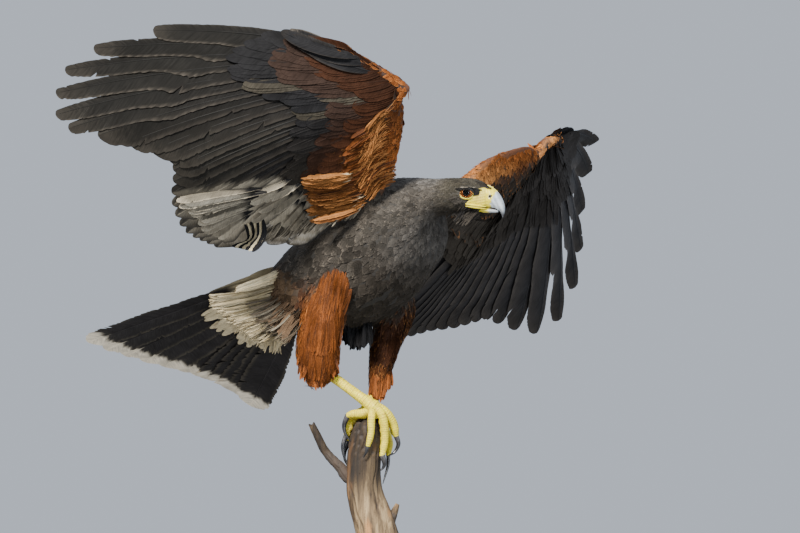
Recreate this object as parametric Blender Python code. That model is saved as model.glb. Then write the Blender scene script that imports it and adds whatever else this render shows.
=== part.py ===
"""A life-size still model of a Harris's hawk that lands with raised wings on a snag.

Sizes and places below are in millimetres and are turned to metres as each mesh is made.
+X is the picture's right, +Y points away from the viewer and +Z is up.
The origin is on the underside of the display stand's base, below the snag.
"""
import math

import bmesh
import bpy
import numpy as np
from mathutils import Vector

MM = 0.001
GAP = 0.3

# How the bird is placed: its heading, the pitch of its body and where the tail starts.
HEADING = math.radians(-45)
BODY_PITCH = math.radians(26)
TAIL_BASE = np.array([-76.0, 61.0, 370.0])

HEAD_HEADING = math.radians(-18)
HEAD_PITCH = math.radians(-4)
HEAD_CENTRE = np.array([80.0, -90.0, 458.0])

AHEAD = np.array([math.cos(HEADING), math.sin(HEADING), 0.0])
RIGHT = np.array([math.sin(HEADING), -math.cos(HEADING), 0.0])
UP = np.array([0.0, 0.0, 1.0])
SPINE = math.cos(BODY_PITCH) * AHEAD + math.sin(BODY_PITCH) * UP
BACK = math.cos(BODY_PITCH) * UP - math.sin(BODY_PITCH) * AHEAD

FACE = np.array([math.cos(HEAD_HEADING), math.sin(HEAD_HEADING), 0.0])
FACE = math.cos(HEAD_PITCH) * FACE + math.sin(HEAD_PITCH) * UP
CHEEK = np.array([math.sin(HEAD_HEADING), -math.cos(HEAD_HEADING), 0.0])
CROWN = np.cross(CHEEK, FACE)

# Stations of the trunk: place along the spine from the tail base, reach above and
# below the spine, and half the width, all in the feathers.
TRUNK = (
    (-52, 6, 14, 17),
    (-28, 18, 34, 29),
    (0, 27, 56, 41),
    (35, 33, 74, 51),
    (80, 36, 80, 56),
    (120, 36, 78, 56),
    (152, 35, 68, 52),
    (178, 32, 55, 46),
)

# Stations of the head: place ahead of its centre, reach above and below, half the width.
HEAD = (
    (-18, 16.5, 26, 24),
    (-6, 18, 19.5, 22.5),
    (6, 18.8, 16.5, 21),
    (17, 19.6, 15, 18.5),
    (27, 18.2, 13.5, 13.5),
    (34, 15, 12.5, 9.5),
    (38, 12.4, 9.5, 7.2),
)

# Bill stations seen from the side, each an upper and a lower point ahead of and above
# the head's centre, and half the width there.
UPPER_BILL = (
    ((36, 13.6), (36, -8.0), 7.6),
    ((42, 10.6), (41.5, -8.4), 6.6),
    ((48, 6.0), (45.2, -9.0), 5.4),
    ((52.4, -0.5), (47.4, -10.2), 4.3),
    ((54.8, -7.0), (49.8, -11.4), 3.1),
    ((54.9, -12.5), (51.6, -14.0), 1.8),
    ((53.6, -17.6), (53.0, -17.4), 0.4),
)
LOWER_BILL = (
    ((27, -9.2), (27, -13.8), 6.0),
    ((37, -9.4), (37, -13.9), 5.3),
    ((44, -10.0), (43.6, -13.4), 3.9),
    ((48.3, -10.9), (48.0, -12.7), 2.0),
)
NOSTRIL_PLACE = (41.0, 5.9, 2.8)
NOSTRIL_RADIUS = 1.5
EYE_PLACE = (18.0, 11.8, 4.7)
EYE_RADIUS = 8.4
GAPE = ((19.5, 16.8, -7.0), (25, 14.2, -7.5), (31, 11.0, -8.1), (37, 7.6, -8.6))
BROW = ((6, 16.9, 12.5), (13, 16.6, 12.9), (21, 14.9, 11.7), (28, 12.2, 8.6))
# The direction of an eye, and the opening of its lids as shares of its radius.
EYE_AXIS = (0.26, 0.96, 0.02)
LID_OUT = 0.72
LID_HALF_LENGTH = 0.86
LID_HALF_HEIGHT = 0.70
LID_CORNERS = 10
LID_RADIUS = 1.25
LIP_RISE = 1.3
MOUTH_DROP = 0.3
NECK_CUT = 184
HEAD_CUT = -13
RUMP_CUT = 4

# Each wing: shoulder, elbow, wrist and the end of the hand.
RIGHT_WING = {
    "shoulder": (-2, -71, 451), "elbow": (-37, -134, 505),
    "wrist": (34, -164, 563), "tip": (-26, -175, 603),
}
LEFT_WING = {
    "shoulder": (74, -7, 453), "elbow": (115, 69, 429),
    "wrist": (173, 60, 512), "tip": (190, 132, 519),
}

# How far the skin before the arm bulges from the elbow, near the shoulder and the wrist.
RIGHT_PATAGIUM = (9, 4)
LEFT_PATAGIUM = (22, 12)

# Lengths of the flight feathers, from the wing's tip to its elbow and on to the body.
PRIMARY_LENGTHS = (195, 257, 290, 306, 314, 309, 287, 265, 248, 236)
SECONDARY_LENGTHS = (233, 232, 231, 228, 223, 218, 212, 205, 198, 191, 184)
TERTIAL_LENGTHS = (166, 150, 134, 116)

# Where some of the flight feathers point: feather number counted from the wing's tip.
RIGHT_AIMS = {
    0: (-0.98, 0.174, 0.099), 1: (-1.0, 0.03, 0.012), 2: (-0.999, 0.0, -0.039),
    4: (-0.986, 0.0, -0.164), 6: (-0.978, 0.0, -0.209), 8: (-0.962, 0.0, -0.272),
    10: (-0.944, 0.0, -0.329), 12: (-0.928, 0.02, -0.38), 14: (-0.887, 0.09, -0.453),
    16: (-0.821, 0.25, -0.506), 18: (-0.74, 0.40, -0.519), 20: (-0.675, 0.50, -0.53),
    24: (-0.60, 0.60, -0.50),
}
LEFT_AIMS = {
    0: (0.21, 0.98, -0.01), 1: (0.13, 0.98, -0.125), 2: (0.10, 0.96, -0.25),
    3: (0.11, 0.92, -0.36), 4: (0.10, 0.87, -0.465), 5: (0.04, 0.79, -0.60),
    6: (-0.03, 0.71, -0.69), 8: (-0.19, 0.64, -0.73), 10: (-0.27, 0.60, -0.75),
    12: (-0.33, 0.61, -0.72), 14: (-0.40, 0.60, -0.69), 16: (-0.47, 0.56, -0.69),
    20: (-0.60, 0.47, -0.65), 24: (-0.60, 0.55, -0.55),
}

# The tail's fan: where its right edge, middle and left edge point.
TAIL_LENGTH = 232
TAIL_FEATHERS = 12
TAIL_EDGES = ((-0.885, 0.36, -0.31), (-0.49, 0.79, -0.40), (-0.245, 0.815, -0.468))
TAIL_STACK = 2.4
# The step from one quill of the tail to the next, and the flat core: place, half width, depth.
TAIL_ROOT_ROW = 2.2 * RIGHT + 2.4 * UP
TAIL_CORE = ((4, 23, 8), (24, 33, 9), (46, 40, 6.5), (58, 34, 3))
# Coverts over the tail's root: place among the shafts and how far each reaches.
UNDER_TAIL_COVERTS = ((1.0, 96), (3.2, 112), (5.4, 118), (7.6, 112), (9.8, 98))
UPPER_TAIL_COVERTS = ((0.2, 92), (2.7, 98), (5.4, 100), (8.0, 96), (10.3, 84))
TAIL_COVERT_START = 20
TAIL_COVERT_LIFT = 7.5
TAIL_COVERT_SLOPE = 0.7

# Forms of feathers: share of the length, then the width of the leading and the trailing web.
INNER_PRIMARY = ((0, 4, 8), (0.17, 8, 19), (0.5, 10, 27), (0.84, 10, 24), (1, 2.5, 5))
SECONDARY = ((0, 4, 8), (0.17, 9, 18), (0.5, 13, 29), (0.86, 12, 26), (1, 3, 6))
TERTIAL = ((0, 6, 9), (0.3, 9, 14), (0.84, 9, 14.5), (1, 4, 6))
# The feathers of the upper arm lie this much higher than those of the forearm.
TERTIAL_RISE = 2.6
TAIL_VANE = ((0.05, 2, 2), (0.3, 9, 11), (0.62, 17, 20), (0.93, 18, 22), (1, 11, 13))
GREATER_COVERT = ((0, 3, 5), (0.82, 11, 19), (1, 4, 7))
ALULA_FEATHER = ((0, 2, 2), (0.8, 6, 9), (1, 2, 3))
TAIL_COVERT = ((0, 3, 3), (0.7, 13, 13), (1, 5, 5))
# The six outer primaries narrow to fingers from these shares of their length.
FINGER_STARTS = (0.55, 0.6, 0.65, 0.68, 0.71, 0.74)
# How far the fingers turn about their shafts beyond the notch, and over which share of the length.
RIGHT_TWIST = 0.0
LEFT_TWIST = math.radians(34)
TWIST_SPAN = 0.2
# How far apart the sheets of neighbouring feathers lie, at least and as a share of
# the distance between their shafts.
WING_STACK = 1.8
STACK_SLOPE = 0.17
# How far the webs reach over the neighbours, as shares of the distance between shafts.
RIGHT_OVERLAP = (0.7, 1.5)
LEFT_OVERLAP = (0.45, 1.2)
# Rounds of smoothing along the row of quills, most for the depth that the view hides.
AIM_ROUNDS = (1, 14, 1)
ROOT_ROUNDS = (4, 8, 4)
VANE_THICKNESS = 0.55
QUILL = 1.6
CLEAR_OF_ROOTS = 60
# The greater coverts: where they start from the quills, the share of the feather where they
# end, and how many sheets of feathers they clear on either face.
COVERT_START = -4
COVERT_REACH = 0.42
COVERT_LEVELS = 2
COVERT_MARGIN = 2.3
COVERT_WEB_AT_ELBOW = 10
# One covert stands over every second quill and is that much wider.
COVERT_STEP = 2
COVERT_SPREAD = 1.3
# Feathers of the thumb: length, share of the way from the wrist to the hand's end, and
# how far each leans toward the leading edge.
THUMB_DROP = 2.5
THUMB_STEP = 1.6
THUMB_TILT = 0.1
RIGHT_ALULA = ((96, 0.5, 0.2), (72, 0.34, 0.24))
LEFT_ALULA = ((62, 0.4, -0.2), (48, 0.28, -0.16))

# Legs: stations down each feathered thigh, with half the width across the view and
# half the depth, then the bare shank and the toes with their claws.
RIGHT_THIGH = (
    ((-38, -22, 388), 15, 18), ((-43, -24, 366), 20, 24), ((-48, -21, 344), 22.5, 27),
    ((-53, -14, 318), 22.5, 27), ((-54, -6, 296), 22, 25), ((-53, -2, 280), 17, 19),
    ((-55, -2, 268), 8, 9),
)
LEFT_THIGH = (
    ((16, 24, 380), 15, 18), ((22, 30, 356), 21, 25), ((21, 32, 334), 20.5, 25),
    ((14, 30, 311), 16.5, 22), ((9, 26, 288), 12.5, 17), ((5, 20, 268), 8.5, 11),
    ((4, 15, 255), 4.5, 6),
)
RIGHT_SHANK = ((-52, 4, 284), (-38, -2, 277), (-24, -7, 267), (-9, -12, 256), (2, -14, 248))
LEFT_SHANK = ((12, 42, 292), (8, 34, 279), (3, 25, 265), (-2, 16, 253), (-4, 11, 246))
SHANK_RADII = (5.4, 5.2, 5.0, 5.4, 7.0)
RIGHT_TOES = {
    "outer": ((1, -15, 247), (-0.5, -21.5, 237), (-1, -22.5, 222), (-4, -21.5, 209)),
    "middle": ((4, -16, 247), (10, -18.5, 240), (12.5, -15.5, 226), (12.5, -13.5, 213),
               (10, -14.0, 199)),
    "inner": ((5, -14, 248), (13, -12, 243), (20.5, -7, 232), (24, -3, 219)),
    "hind": ((-1, -12, 245), (-9, -9, 241.5), (-17, -5, 241), (-24.5, -1, 239.5)),
}
RIGHT_CLAWS = {
    "outer": ((-3.7, -21.7, 210), (-5.6, -21.8, 203.5), (-8.5, -20.0, 198)),
    "middle": ((10.2, -14, 200), (12.4, -13.6, 192.5), (11.4, -13.6, 188), (8.4, -14.4, 184.5)),
    "inner": ((23.8, -3.2, 220), (26.4, -2.5, 211), (22.5, -3.5, 203), (16, -6, 199)),
    "hind": ((-24, -1, 239.8), (-27.8, -1, 230), (-26.4, -2, 221), (-21.4, -4, 214)),
}
LEFT_TOES = {
    "outer": ((-2, 13, 244), (4, 20.5, 237), (13, 17.5, 226), (17.5, 11, 212), (16, 9, 199)),
    "middle": ((-4, 13, 245), (-4, 22.5, 236), (-5, 23, 220), (-7, 22.5, 204)),
    "inner": ((-5, 12, 245), (-14, 19, 238), (-20, 17.5, 226), (-23, 15, 212)),
    "hind": ((-6, 10, 244), (-14, 9, 240.5), (-22.5, 8.5, 231), (-25.5, 7.5, 219)),
}
LEFT_CLAWS = {
    "outer": ((16.2, 9.2, 200), (16.0, 7, 190), (13.4, 4.5, 180), (10.8, 2, 171)),
    "middle": ((-6.8, 22.6, 205), (-9.5, 23.0, 195), (-10.5, 21.0, 188), (-10, 19, 183)),
    "inner": ((-22.8, 15.2, 213), (-27.0, 13.5, 204), (-27.5, 11.0, 196), (-25.5, 9.0, 190)),
    "hind": ((-25.4, 7.4, 220), (-29.0, 5.5, 210), (-28.4, 3.5, 200), (-24.8, 1.5, 192)),
}
FOOT_RADIUS = 7.6
TOE_RADII = {"outer": (4.4, 3.6), "middle": (4.8, 4.0), "inner": (5.2, 4.6), "hind": (5.2, 4.6)}
CLAW_RADII = {"outer": 2.3, "middle": 3.2, "inner": 3.0, "hind": 3.1}

# The snag: centre and half widths of its sections from the foot up, its twig and its stub.
SNAG = (
    ((14, 2, 80), 23, 22), ((9, 1, 106), 22, 21), ((3, 0, 128), 21, 20),
    ((-3, 0, 147), 20, 19), ((-8, 0, 166), 18, 18), ((-8.5, 0, 186), 17, 17),
    ((-6.5, 0, 204), 16.8, 17), ((-4, 0, 220), 16.4, 16.5), ((-1.5, 0, 232), 14.8, 15),
    ((0, 0, 236.5), 10, 10),
)
SNAG_TOP_CUT = 233
TWIG = ((-14, 0, 176), (-24, -2, 178), (-32, -3, 188), (-41, -4, 197), (-48, -5, 206),
        (-54, -6, 218), (-60, -7, 230.5))
TWIG_RADII = (7, 6.4, 5.4, 4.6, 4.2, 3.9, 3.3)
STUB = ((16, 0, 132), (21, -1, 140), (25.5, -2, 151))
STUB_RADII = (6.5, 4.4, 2.2)

# The stand.
BASE_CENTRE = (0, 0)
BASE_RADIUS = 120
BASE_HEIGHT = 18
ROD_RADIUS = 7
PERCH_FOOT = 80


def remove_all_objects():
    for thing in list(bpy.data.objects):
        bpy.data.objects.remove(thing, do_unlink=True)


def unit(vector):
    return vector / np.linalg.norm(vector)


def material(name, colour, roughness, metallic=0.0):
    made = bpy.data.materials.new(name)
    made.use_nodes = True
    shader = made.node_tree.nodes["Principled BSDF"]
    shader.inputs["Base Color"].default_value = (*colour, 1.0)
    shader.inputs["Roughness"].default_value = roughness
    shader.inputs["Metallic"].default_value = metallic
    return made


def smooth_rows(rows, steps):
    """Rows of numbers read off a smooth curve through the given rows."""
    rows = np.array(rows, dtype=float)
    padded = np.vstack([2 * rows[0] - rows[1], rows, 2 * rows[-1] - rows[-2]])
    smoothed = []
    for index in range(len(rows) - 1):
        before, start, end, after = padded[index:index + 4]
        for step in range(steps):
            t = step / steps
            smoothed.append(0.5 * (2 * start + (end - before) * t
                                   + (2 * before - 5 * start + 4 * end - after) * t ** 2
                                   + (3 * start - before - 3 * end + after) * t ** 3))
    smoothed.append(rows[-1])
    return np.array(smoothed)


def read_keys(keys, count):
    """One row for each number from 0 to count - 1, between rows given for some of them."""
    places = sorted(keys)
    rows = np.array([keys[place] for place in places], dtype=float)
    wanted = np.arange(count)
    return np.column_stack([np.interp(wanted, places, column) for column in rows.T])


def softened(rows, rounds):
    """Rows smoothed one after another, with a number of rounds for each column."""
    rows = np.array(rows, dtype=float)
    for column, count in enumerate(rounds):
        for _ in range(count):
            inner = (rows[:-2, column] + 2 * rows[1:-1, column] + rows[2:, column]) / 4
            rows[1:-1, column] = inner
    return rows


def solid(name, points, faces):
    """A mesh object from points in millimetres, its faces turned outward."""
    points = np.array(points, dtype=float)
    volume = 0.0
    for face in faces:
        first = points[face[0]]
        for second, third in zip(face[1:-1], face[2:]):
            volume += np.dot(first, np.cross(points[second], points[third]))
    if volume < 0:
        faces = [tuple(reversed(face)) for face in faces]
    mesh = bpy.data.meshes.new(name)
    mesh.from_pydata([tuple(point * MM) for point in points], [], faces)
    made = bpy.data.objects.new(name, mesh)
    bpy.context.scene.collection.objects.link(made)
    return made


def loft(name, rings):
    """A closed skin over rings of points, with a fan of triangles at each end."""
    rings = [np.array(ring) for ring in rings]
    sides = len(rings[0])
    points = [point for ring in rings for point in ring]
    faces = []
    for row in range(len(rings) - 1):
        for side in range(sides):
            beside = (side + 1) % sides
            low = row * sides
            high = low + sides
            faces.append((low + side, low + beside, high + beside))
            faces.append((low + side, high + beside, high + side))
    for row, turned in ((0, True), (len(rings) - 1, False)):
        centre = len(points)
        points.append(rings[row].mean(axis=0))
        for side in range(sides):
            pair = (row * sides + side, row * sides + (side + 1) % sides)
            faces.append((centre, pair[1], pair[0]) if turned else (centre, *pair))
    return solid(name, points, faces)


def oval(centre, first, second, sides, power=2.0):
    """A ring of points round an oval with the two half axes given as vectors."""
    ring = []
    for side in range(sides):
        angle = 2 * math.pi * side / sides
        across = math.copysign(abs(math.cos(angle)) ** (2 / power), math.cos(angle))
        along = math.copysign(abs(math.sin(angle)) ** (2 / power), math.sin(angle))
        ring.append(centre + across * first + along * second)
    return ring


def path_frames(points):
    """The direction along a path at each of its points."""
    ahead = np.gradient(points, axis=0)
    return ahead / np.linalg.norm(ahead, axis=1)[:, None]


def tube(name, points, radii, sides, flat=1.0):
    """A round, tapered bar along a path; flat squeezes its height."""
    points = np.array(points, dtype=float)
    ahead = path_frames(points)
    rings = []
    across = unit(np.cross(ahead[0], (0.13, 0.31, 0.94)))
    for point, direction, radius in zip(points, ahead, radii):
        across = unit(across - direction * np.dot(across, direction))
        upward = np.cross(direction, across)
        rings.append(oval(point, across * radius, upward * radius * flat, sides))
    return loft(name, rings)


def settle(target):
    """Puts what the modifiers make in place of the object's own mesh."""
    view = bpy.context.evaluated_depsgraph_get()
    made = bpy.data.meshes.new_from_object(target.evaluated_get(view))
    target.modifiers.clear()
    target.data = made


def keep_largest(target):
    """Keeps the largest closed surface of a mesh and drops the rest."""
    body = bmesh.new()
    body.from_mesh(target.data)
    unseen = set(body.faces)
    groups = []
    while unseen:
        queue = [unseen.pop()]
        group = []
        while queue:
            face = queue.pop()
            group.append(face)
            for edge in face.edges:
                for beside in edge.link_faces:
                    if beside in unseen:
                        unseen.remove(beside)
                        queue.append(beside)
        groups.append(group)
    groups.sort(key=lambda group: sum(face.calc_area() for face in group))
    loose = [face for group in groups[:-1] for face in group]
    bmesh.ops.delete(body, geom=loose, context="FACES")
    alone = [vertex for vertex in body.verts if not vertex.link_faces]
    bmesh.ops.delete(body, geom=alone, context="VERTS")
    body.to_mesh(target.data)
    body.free()


def join(target, pieces, solver="EXACT"):
    """Fuses closed pieces into the target."""
    group = bpy.data.collections.new("pieces")
    bpy.context.scene.collection.children.link(group)
    for piece in pieces:
        bpy.context.scene.collection.objects.unlink(piece)
        group.objects.link(piece)
    union = target.modifiers.new("join", "BOOLEAN")
    union.operation = "UNION"
    union.operand_type = "COLLECTION"
    union.collection = group
    union.solver = solver
    settle(target)
    for piece in pieces:
        bpy.data.objects.remove(piece, do_unlink=True)
    bpy.data.collections.remove(group)
    keep_largest(target)


def carve(target, cutter, solver="EXACT"):
    """Cuts one closed piece away from the target and removes the piece."""
    cut = target.modifiers.new("carve", "BOOLEAN")
    cut.operation = "DIFFERENCE"
    cut.object = cutter
    cut.solver = solver
    settle(target)
    bpy.data.objects.remove(cutter, do_unlink=True)
    keep_largest(target)


def slice_off(target, point, normal):
    """Cuts away what lies ahead of a plane and closes the cut."""
    body = bmesh.new()
    body.from_mesh(target.data)
    everything = list(body.verts) + list(body.edges) + list(body.faces)
    bmesh.ops.bisect_plane(body, geom=everything, dist=1e-7, plane_co=Vector(point * MM),
                           plane_no=Vector(normal), clear_outer=True)
    rim = [edge for edge in body.edges if edge.is_boundary]
    bmesh.ops.holes_fill(body, edges=rim)
    bmesh.ops.triangulate(body, faces=[face for face in body.faces if len(face.verts) > 3])
    body.to_mesh(target.data)
    body.free()


def copy_of(source, name):
    made = bpy.data.objects.new(name, source.data.copy())
    bpy.context.scene.collection.objects.link(made)
    return made


def grown(source, distance):
    """A copy of a closed piece that is thicker all round by the distance."""
    made = copy_of(source, source.name + "_grown")
    body = bmesh.new()
    body.from_mesh(made.data)
    body.normal_update()
    moves = [(vertex, vertex.normal * distance * MM) for vertex in body.verts]
    for vertex, move in moves:
        vertex.co += move
    body.to_mesh(made.data)
    body.free()
    return made


def meets(first, second):
    """Whether the boxes round two pieces overlap."""
    boxes = []
    for thing in (first, second):
        places = np.array([vertex.co[:] for vertex in thing.data.vertices])
        boxes.append((places.min(axis=0), places.max(axis=0)))
    (low, high), (other_low, other_high) = boxes
    return bool(np.all(low < other_high) and np.all(other_low < high))


def finish(target, name, look):
    """Names a finished node, gives it its material and shades it smooth."""
    target.name = name
    target.data.name = name
    target.data.materials.clear()
    target.data.materials.append(look)
    target.data.shade_smooth()
    target.data.set_sharp_from_angle(angle=math.radians(35))
    return target


def trunk_ring(station):
    along, above, below, half_width = station
    centre = TAIL_BASE + SPINE * along + BACK * (above - below) / 2
    return np.concatenate([centre, BACK * (above + below) / 2, RIGHT * half_width])


def head_ring(station):
    along, above, below, half_width = station
    centre = HEAD_CENTRE + FACE * along + CROWN * (above - below) / 2
    return np.concatenate([centre, CROWN * (above + below) / 2, CHEEK * half_width])


def body_skin(name):
    """Trunk, neck and head as one smooth skin."""
    rows = [trunk_ring(station) for station in TRUNK]
    rows += [head_ring(station) for station in HEAD]
    rings = [oval(row[:3], row[3:6], row[6:], 16, 2.15) for row in smooth_rows(rows, 2)]
    return loft(name, rings)


def make_body(looks):
    """The skin parted by thin cuts into rump, torso, neck and head."""
    cuts = (
        (TAIL_BASE + SPINE * RUMP_CUT, SPINE),
        (TAIL_BASE + SPINE * NECK_CUT, unit(SPINE + FACE)),
        (HEAD_CENTRE + FACE * HEAD_CUT, FACE),
    )
    names = ("rump", "torso", "neck", "head")
    made = []
    for index, name in enumerate(names):
        piece = body_skin(name)
        if index > 0:
            point, normal = cuts[index - 1]
            slice_off(piece, point + normal * GAP / 2, -normal)
        if index < len(cuts):
            point, normal = cuts[index]
            slice_off(piece, point - normal * GAP / 2, normal)
        made.append(finish(piece, name, looks["plumage"]))
    return made


def head_point(ahead, aside, above, side=1):
    return HEAD_CENTRE + FACE * ahead + CHEEK * (aside * side) + CROWN * above


def ball(name, centre, radius, segments=12):
    """A round ball made of rings along the world's height."""
    rings = []
    rows = segments // 2 + 1
    for row in range(1, rows):
        angle = math.pi * row / rows
        spot = centre - UP * math.cos(angle) * radius
        reach = math.sin(angle) * radius
        rings.append(oval(spot, np.array([reach, 0, 0]), np.array([0, reach, 0]), segments))
    made = loft(name, rings)
    poles = (centre - UP * radius, centre + UP * radius)
    for index, pole in enumerate(poles):
        made.data.vertices[len(made.data.vertices) - 2 + index].co = pole * MM
    return made


def bill_loft(name, stations):
    rings = []
    rows = []
    for (top_ahead, top_above), (low_ahead, low_above), half_width in stations:
        top = head_point(top_ahead, 0, top_above)
        low = head_point(low_ahead, 0, low_above)
        rows.append(np.concatenate([(top + low) / 2, (top - low) / 2, CHEEK * half_width]))
    for row in smooth_rows(rows, 2):
        rings.append(oval(row[:3], row[3:6], row[6:], 12, 2.2))
    return loft(name, rings)


def add_face(head, looks):
    """Lids, brow, the line of the mouth, the eyes and the bill."""
    ridges = []
    sockets = []
    grooves = []
    ahead, aside, above = EYE_AXIS
    for side in (1, -1):
        eye = head_point(*EYE_PLACE, side)
        outward = unit(FACE * ahead + CHEEK * side * aside + CROWN * above)
        rim_up = unit(CROWN - outward * np.dot(CROWN, outward))
        rim_along = np.cross(outward, rim_up)
        rim = []
        for step in range(LID_CORNERS):
            angle = 2 * math.pi * step / LID_CORNERS
            rim.append(eye + outward * EYE_RADIUS * LID_OUT
                       + rim_along * math.cos(angle) * EYE_RADIUS * LID_HALF_LENGTH
                       + rim_up * math.sin(angle) * EYE_RADIUS * LID_HALF_HEIGHT)
        ridges.append(ring_bar("lids", rim, LID_RADIUS, outward))
        ridges.append(tube("brow", smooth_rows([head_point(*p, side) for p in BROW], 2),
                           (0.8, 1.7, 2.3, 2.5, 2.3, 1.7, 0.8), 6))
        sockets.append(ball("socket", eye, EYE_RADIUS + GAP))
        lip = smooth_rows([head_point(*p, side) for p in GAPE], 2)
        ridges.append(tube("lip", lip + CROWN * LIP_RISE, (0.7, 1.3, 1.5, 1.5, 1.4, 1.2, 0.8), 5))
        grooves.append(tube("mouth", lip - CROWN * MOUTH_DROP, (0.3, 0.6, 0.6, 0.6, 0.6, 0.6, 0.6), 4))
        globe = ball(f"eye_{'right' if side == 1 else 'left'}", eye, EYE_RADIUS)
        finish(globe, globe.name, looks["eye"])
    join(head, ridges)
    for piece in sockets + grooves:
        carve(head, piece)
    upper = bill_loft("bill_upper", UPPER_BILL)
    lower = bill_loft("bill_lower", LOWER_BILL)
    carve(upper, grown(head, GAP))
    for side in (1, -1):
        carve(upper, ball("nostril", head_point(*NOSTRIL_PLACE, side), NOSTRIL_RADIUS, 6))
    carve(lower, grown(head, GAP))
    carve(lower, grown(upper, GAP))
    finish(upper, "bill_upper", looks["bill"])
    finish(lower, "bill_lower", looks["bill"])
    finish(head, "head", looks["plumage"])


def ring_bar(name, centres, radius, outward):
    """A closed hoop of square section round the given centres."""
    middle = np.mean(centres, axis=0)
    points = []
    for centre in centres:
        away = unit(centre - middle)
        for across, out in ((-1, -1), (1, -1), (1, 1), (-1, 1)):
            points.append(centre + away * across * radius + outward * out * radius * 0.7)
    count = len(centres)
    faces = []
    for row in range(count):
        following = (row + 1) % count
        for corner in range(4):
            beside = (corner + 1) % 4
            here, there = row * 4, following * 4
            faces.append((here + corner, here + beside, there + beside))
            faces.append((here + corner, there + beside, there + corner))
    return solid(name, points, faces)


def make_snag(looks):
    """The weathered end of a dead branch, with a twig and a broken stub."""
    rows = [np.array([*centre, across, deep], float) for centre, across, deep in SNAG]
    rings = []
    for level, row in enumerate(smooth_rows(rows, 2)):
        centre, across, deep = row[:3], row[3], row[4]
        ring = []
        for side in range(12):
            angle = 2 * math.pi * side / 12
            ripple = 1 + 0.05 * math.sin(3 * angle + level * 0.35)
            ripple += 0.03 * math.sin(5 * angle - level * 0.6)
            ring.append(centre + np.array([math.cos(angle) * across * ripple,
                                           math.sin(angle) * deep * ripple, 0]))
        rings.append(ring)
    snag = loft("perch", rings)
    join(snag, [tube("twig", TWIG, TWIG_RADII, 7), tube("stub", STUB, STUB_RADII, 6)])
    slant = unit(np.array([-0.22, -0.1, 1.0]))
    slice_off(snag, np.array([0, 0, SNAG_TOP_CUT + 2.0]), slant)
    return finish(snag, "perch", looks["wood"])


def make_leg(label, thigh_rows, shank, toes, claws, torso, others, snag, looks):
    """Feathered thigh, bare shank, foot with its toes, and four claws."""
    rows = [np.array([*centre, across, deep], float) for centre, across, deep in thigh_rows]
    rings = []
    for row in smooth_rows(rows, 2):
        rings.append(oval(row[:3], np.array([row[3], 0, 0]), np.array([0, row[4], 0]), 12))
    thigh = loft("thigh", rings)
    for other in [torso] + others:
        carve(thigh, grown(other, GAP))
    bone = tube("shank", shank, SHANK_RADII, 9)
    carve(bone, grown(thigh, GAP))
    heel, above_heel = np.array(shank[-1], float), np.array(shank[-2], float)
    slice_off(bone, heel, unit(heel - above_heel))
    pad = ball("foot", heel, FOOT_RADIUS, 10)
    parts = []
    for name, path in toes.items():
        start, end = TOE_RADII[name]
        line = smooth_rows(path, 2)
        radii = np.linspace(start, end, len(line))
        radii[-1] = end * 0.72
        parts.append(tube(name, line, radii, 6))
    join(pad, parts)
    carve(pad, grown(bone, GAP))
    carve(pad, grown(snag, GAP))
    for name, path in claws.items():
        line = smooth_rows(path, 2)
        radii = CLAW_RADII[name] * np.linspace(1, 0.08, len(line)) ** 0.75
        claw = tube("claw", line, radii, 6)
        carve(claw, grown(pad, GAP))
        carve(claw, grown(snag, GAP))
        finish(claw, f"claw_{label}_{name}", looks["horn"])
    finish(thigh, f"thigh_{label}", looks["rufous"])
    finish(bone, f"shank_{label}", looks["scale"])
    finish(pad, f"foot_{label}", looks["scale"])
    return thigh, bone, pad


def turned(name, centre, radius, low, high, sides):
    """A short round bar standing upright, with a narrow bevel on its upper rim."""
    bevel = min(2.0, (high - low) * 0.2)
    rings = []
    for height, reach in ((low, radius), (high - bevel, radius), (high, radius - bevel)):
        spot = np.array([centre[0], centre[1], height], float)
        rings.append(oval(spot, np.array([reach, 0, 0]), np.array([0, reach, 0]), sides))
    return loft(name, rings)


def make_stand(looks):
    """A flat round base and one short rod up to the snag's foot."""
    foot = SNAG[0][0]
    base = turned("stand_base", BASE_CENTRE, BASE_RADIUS, 0, BASE_HEIGHT, 40)
    rod = turned("stand_rod", foot, ROD_RADIUS, BASE_HEIGHT + GAP, PERCH_FOOT - GAP, 16)
    finish(base, "stand_base", looks["stand"])
    finish(rod, "stand_rod", looks["stand"])


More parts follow.
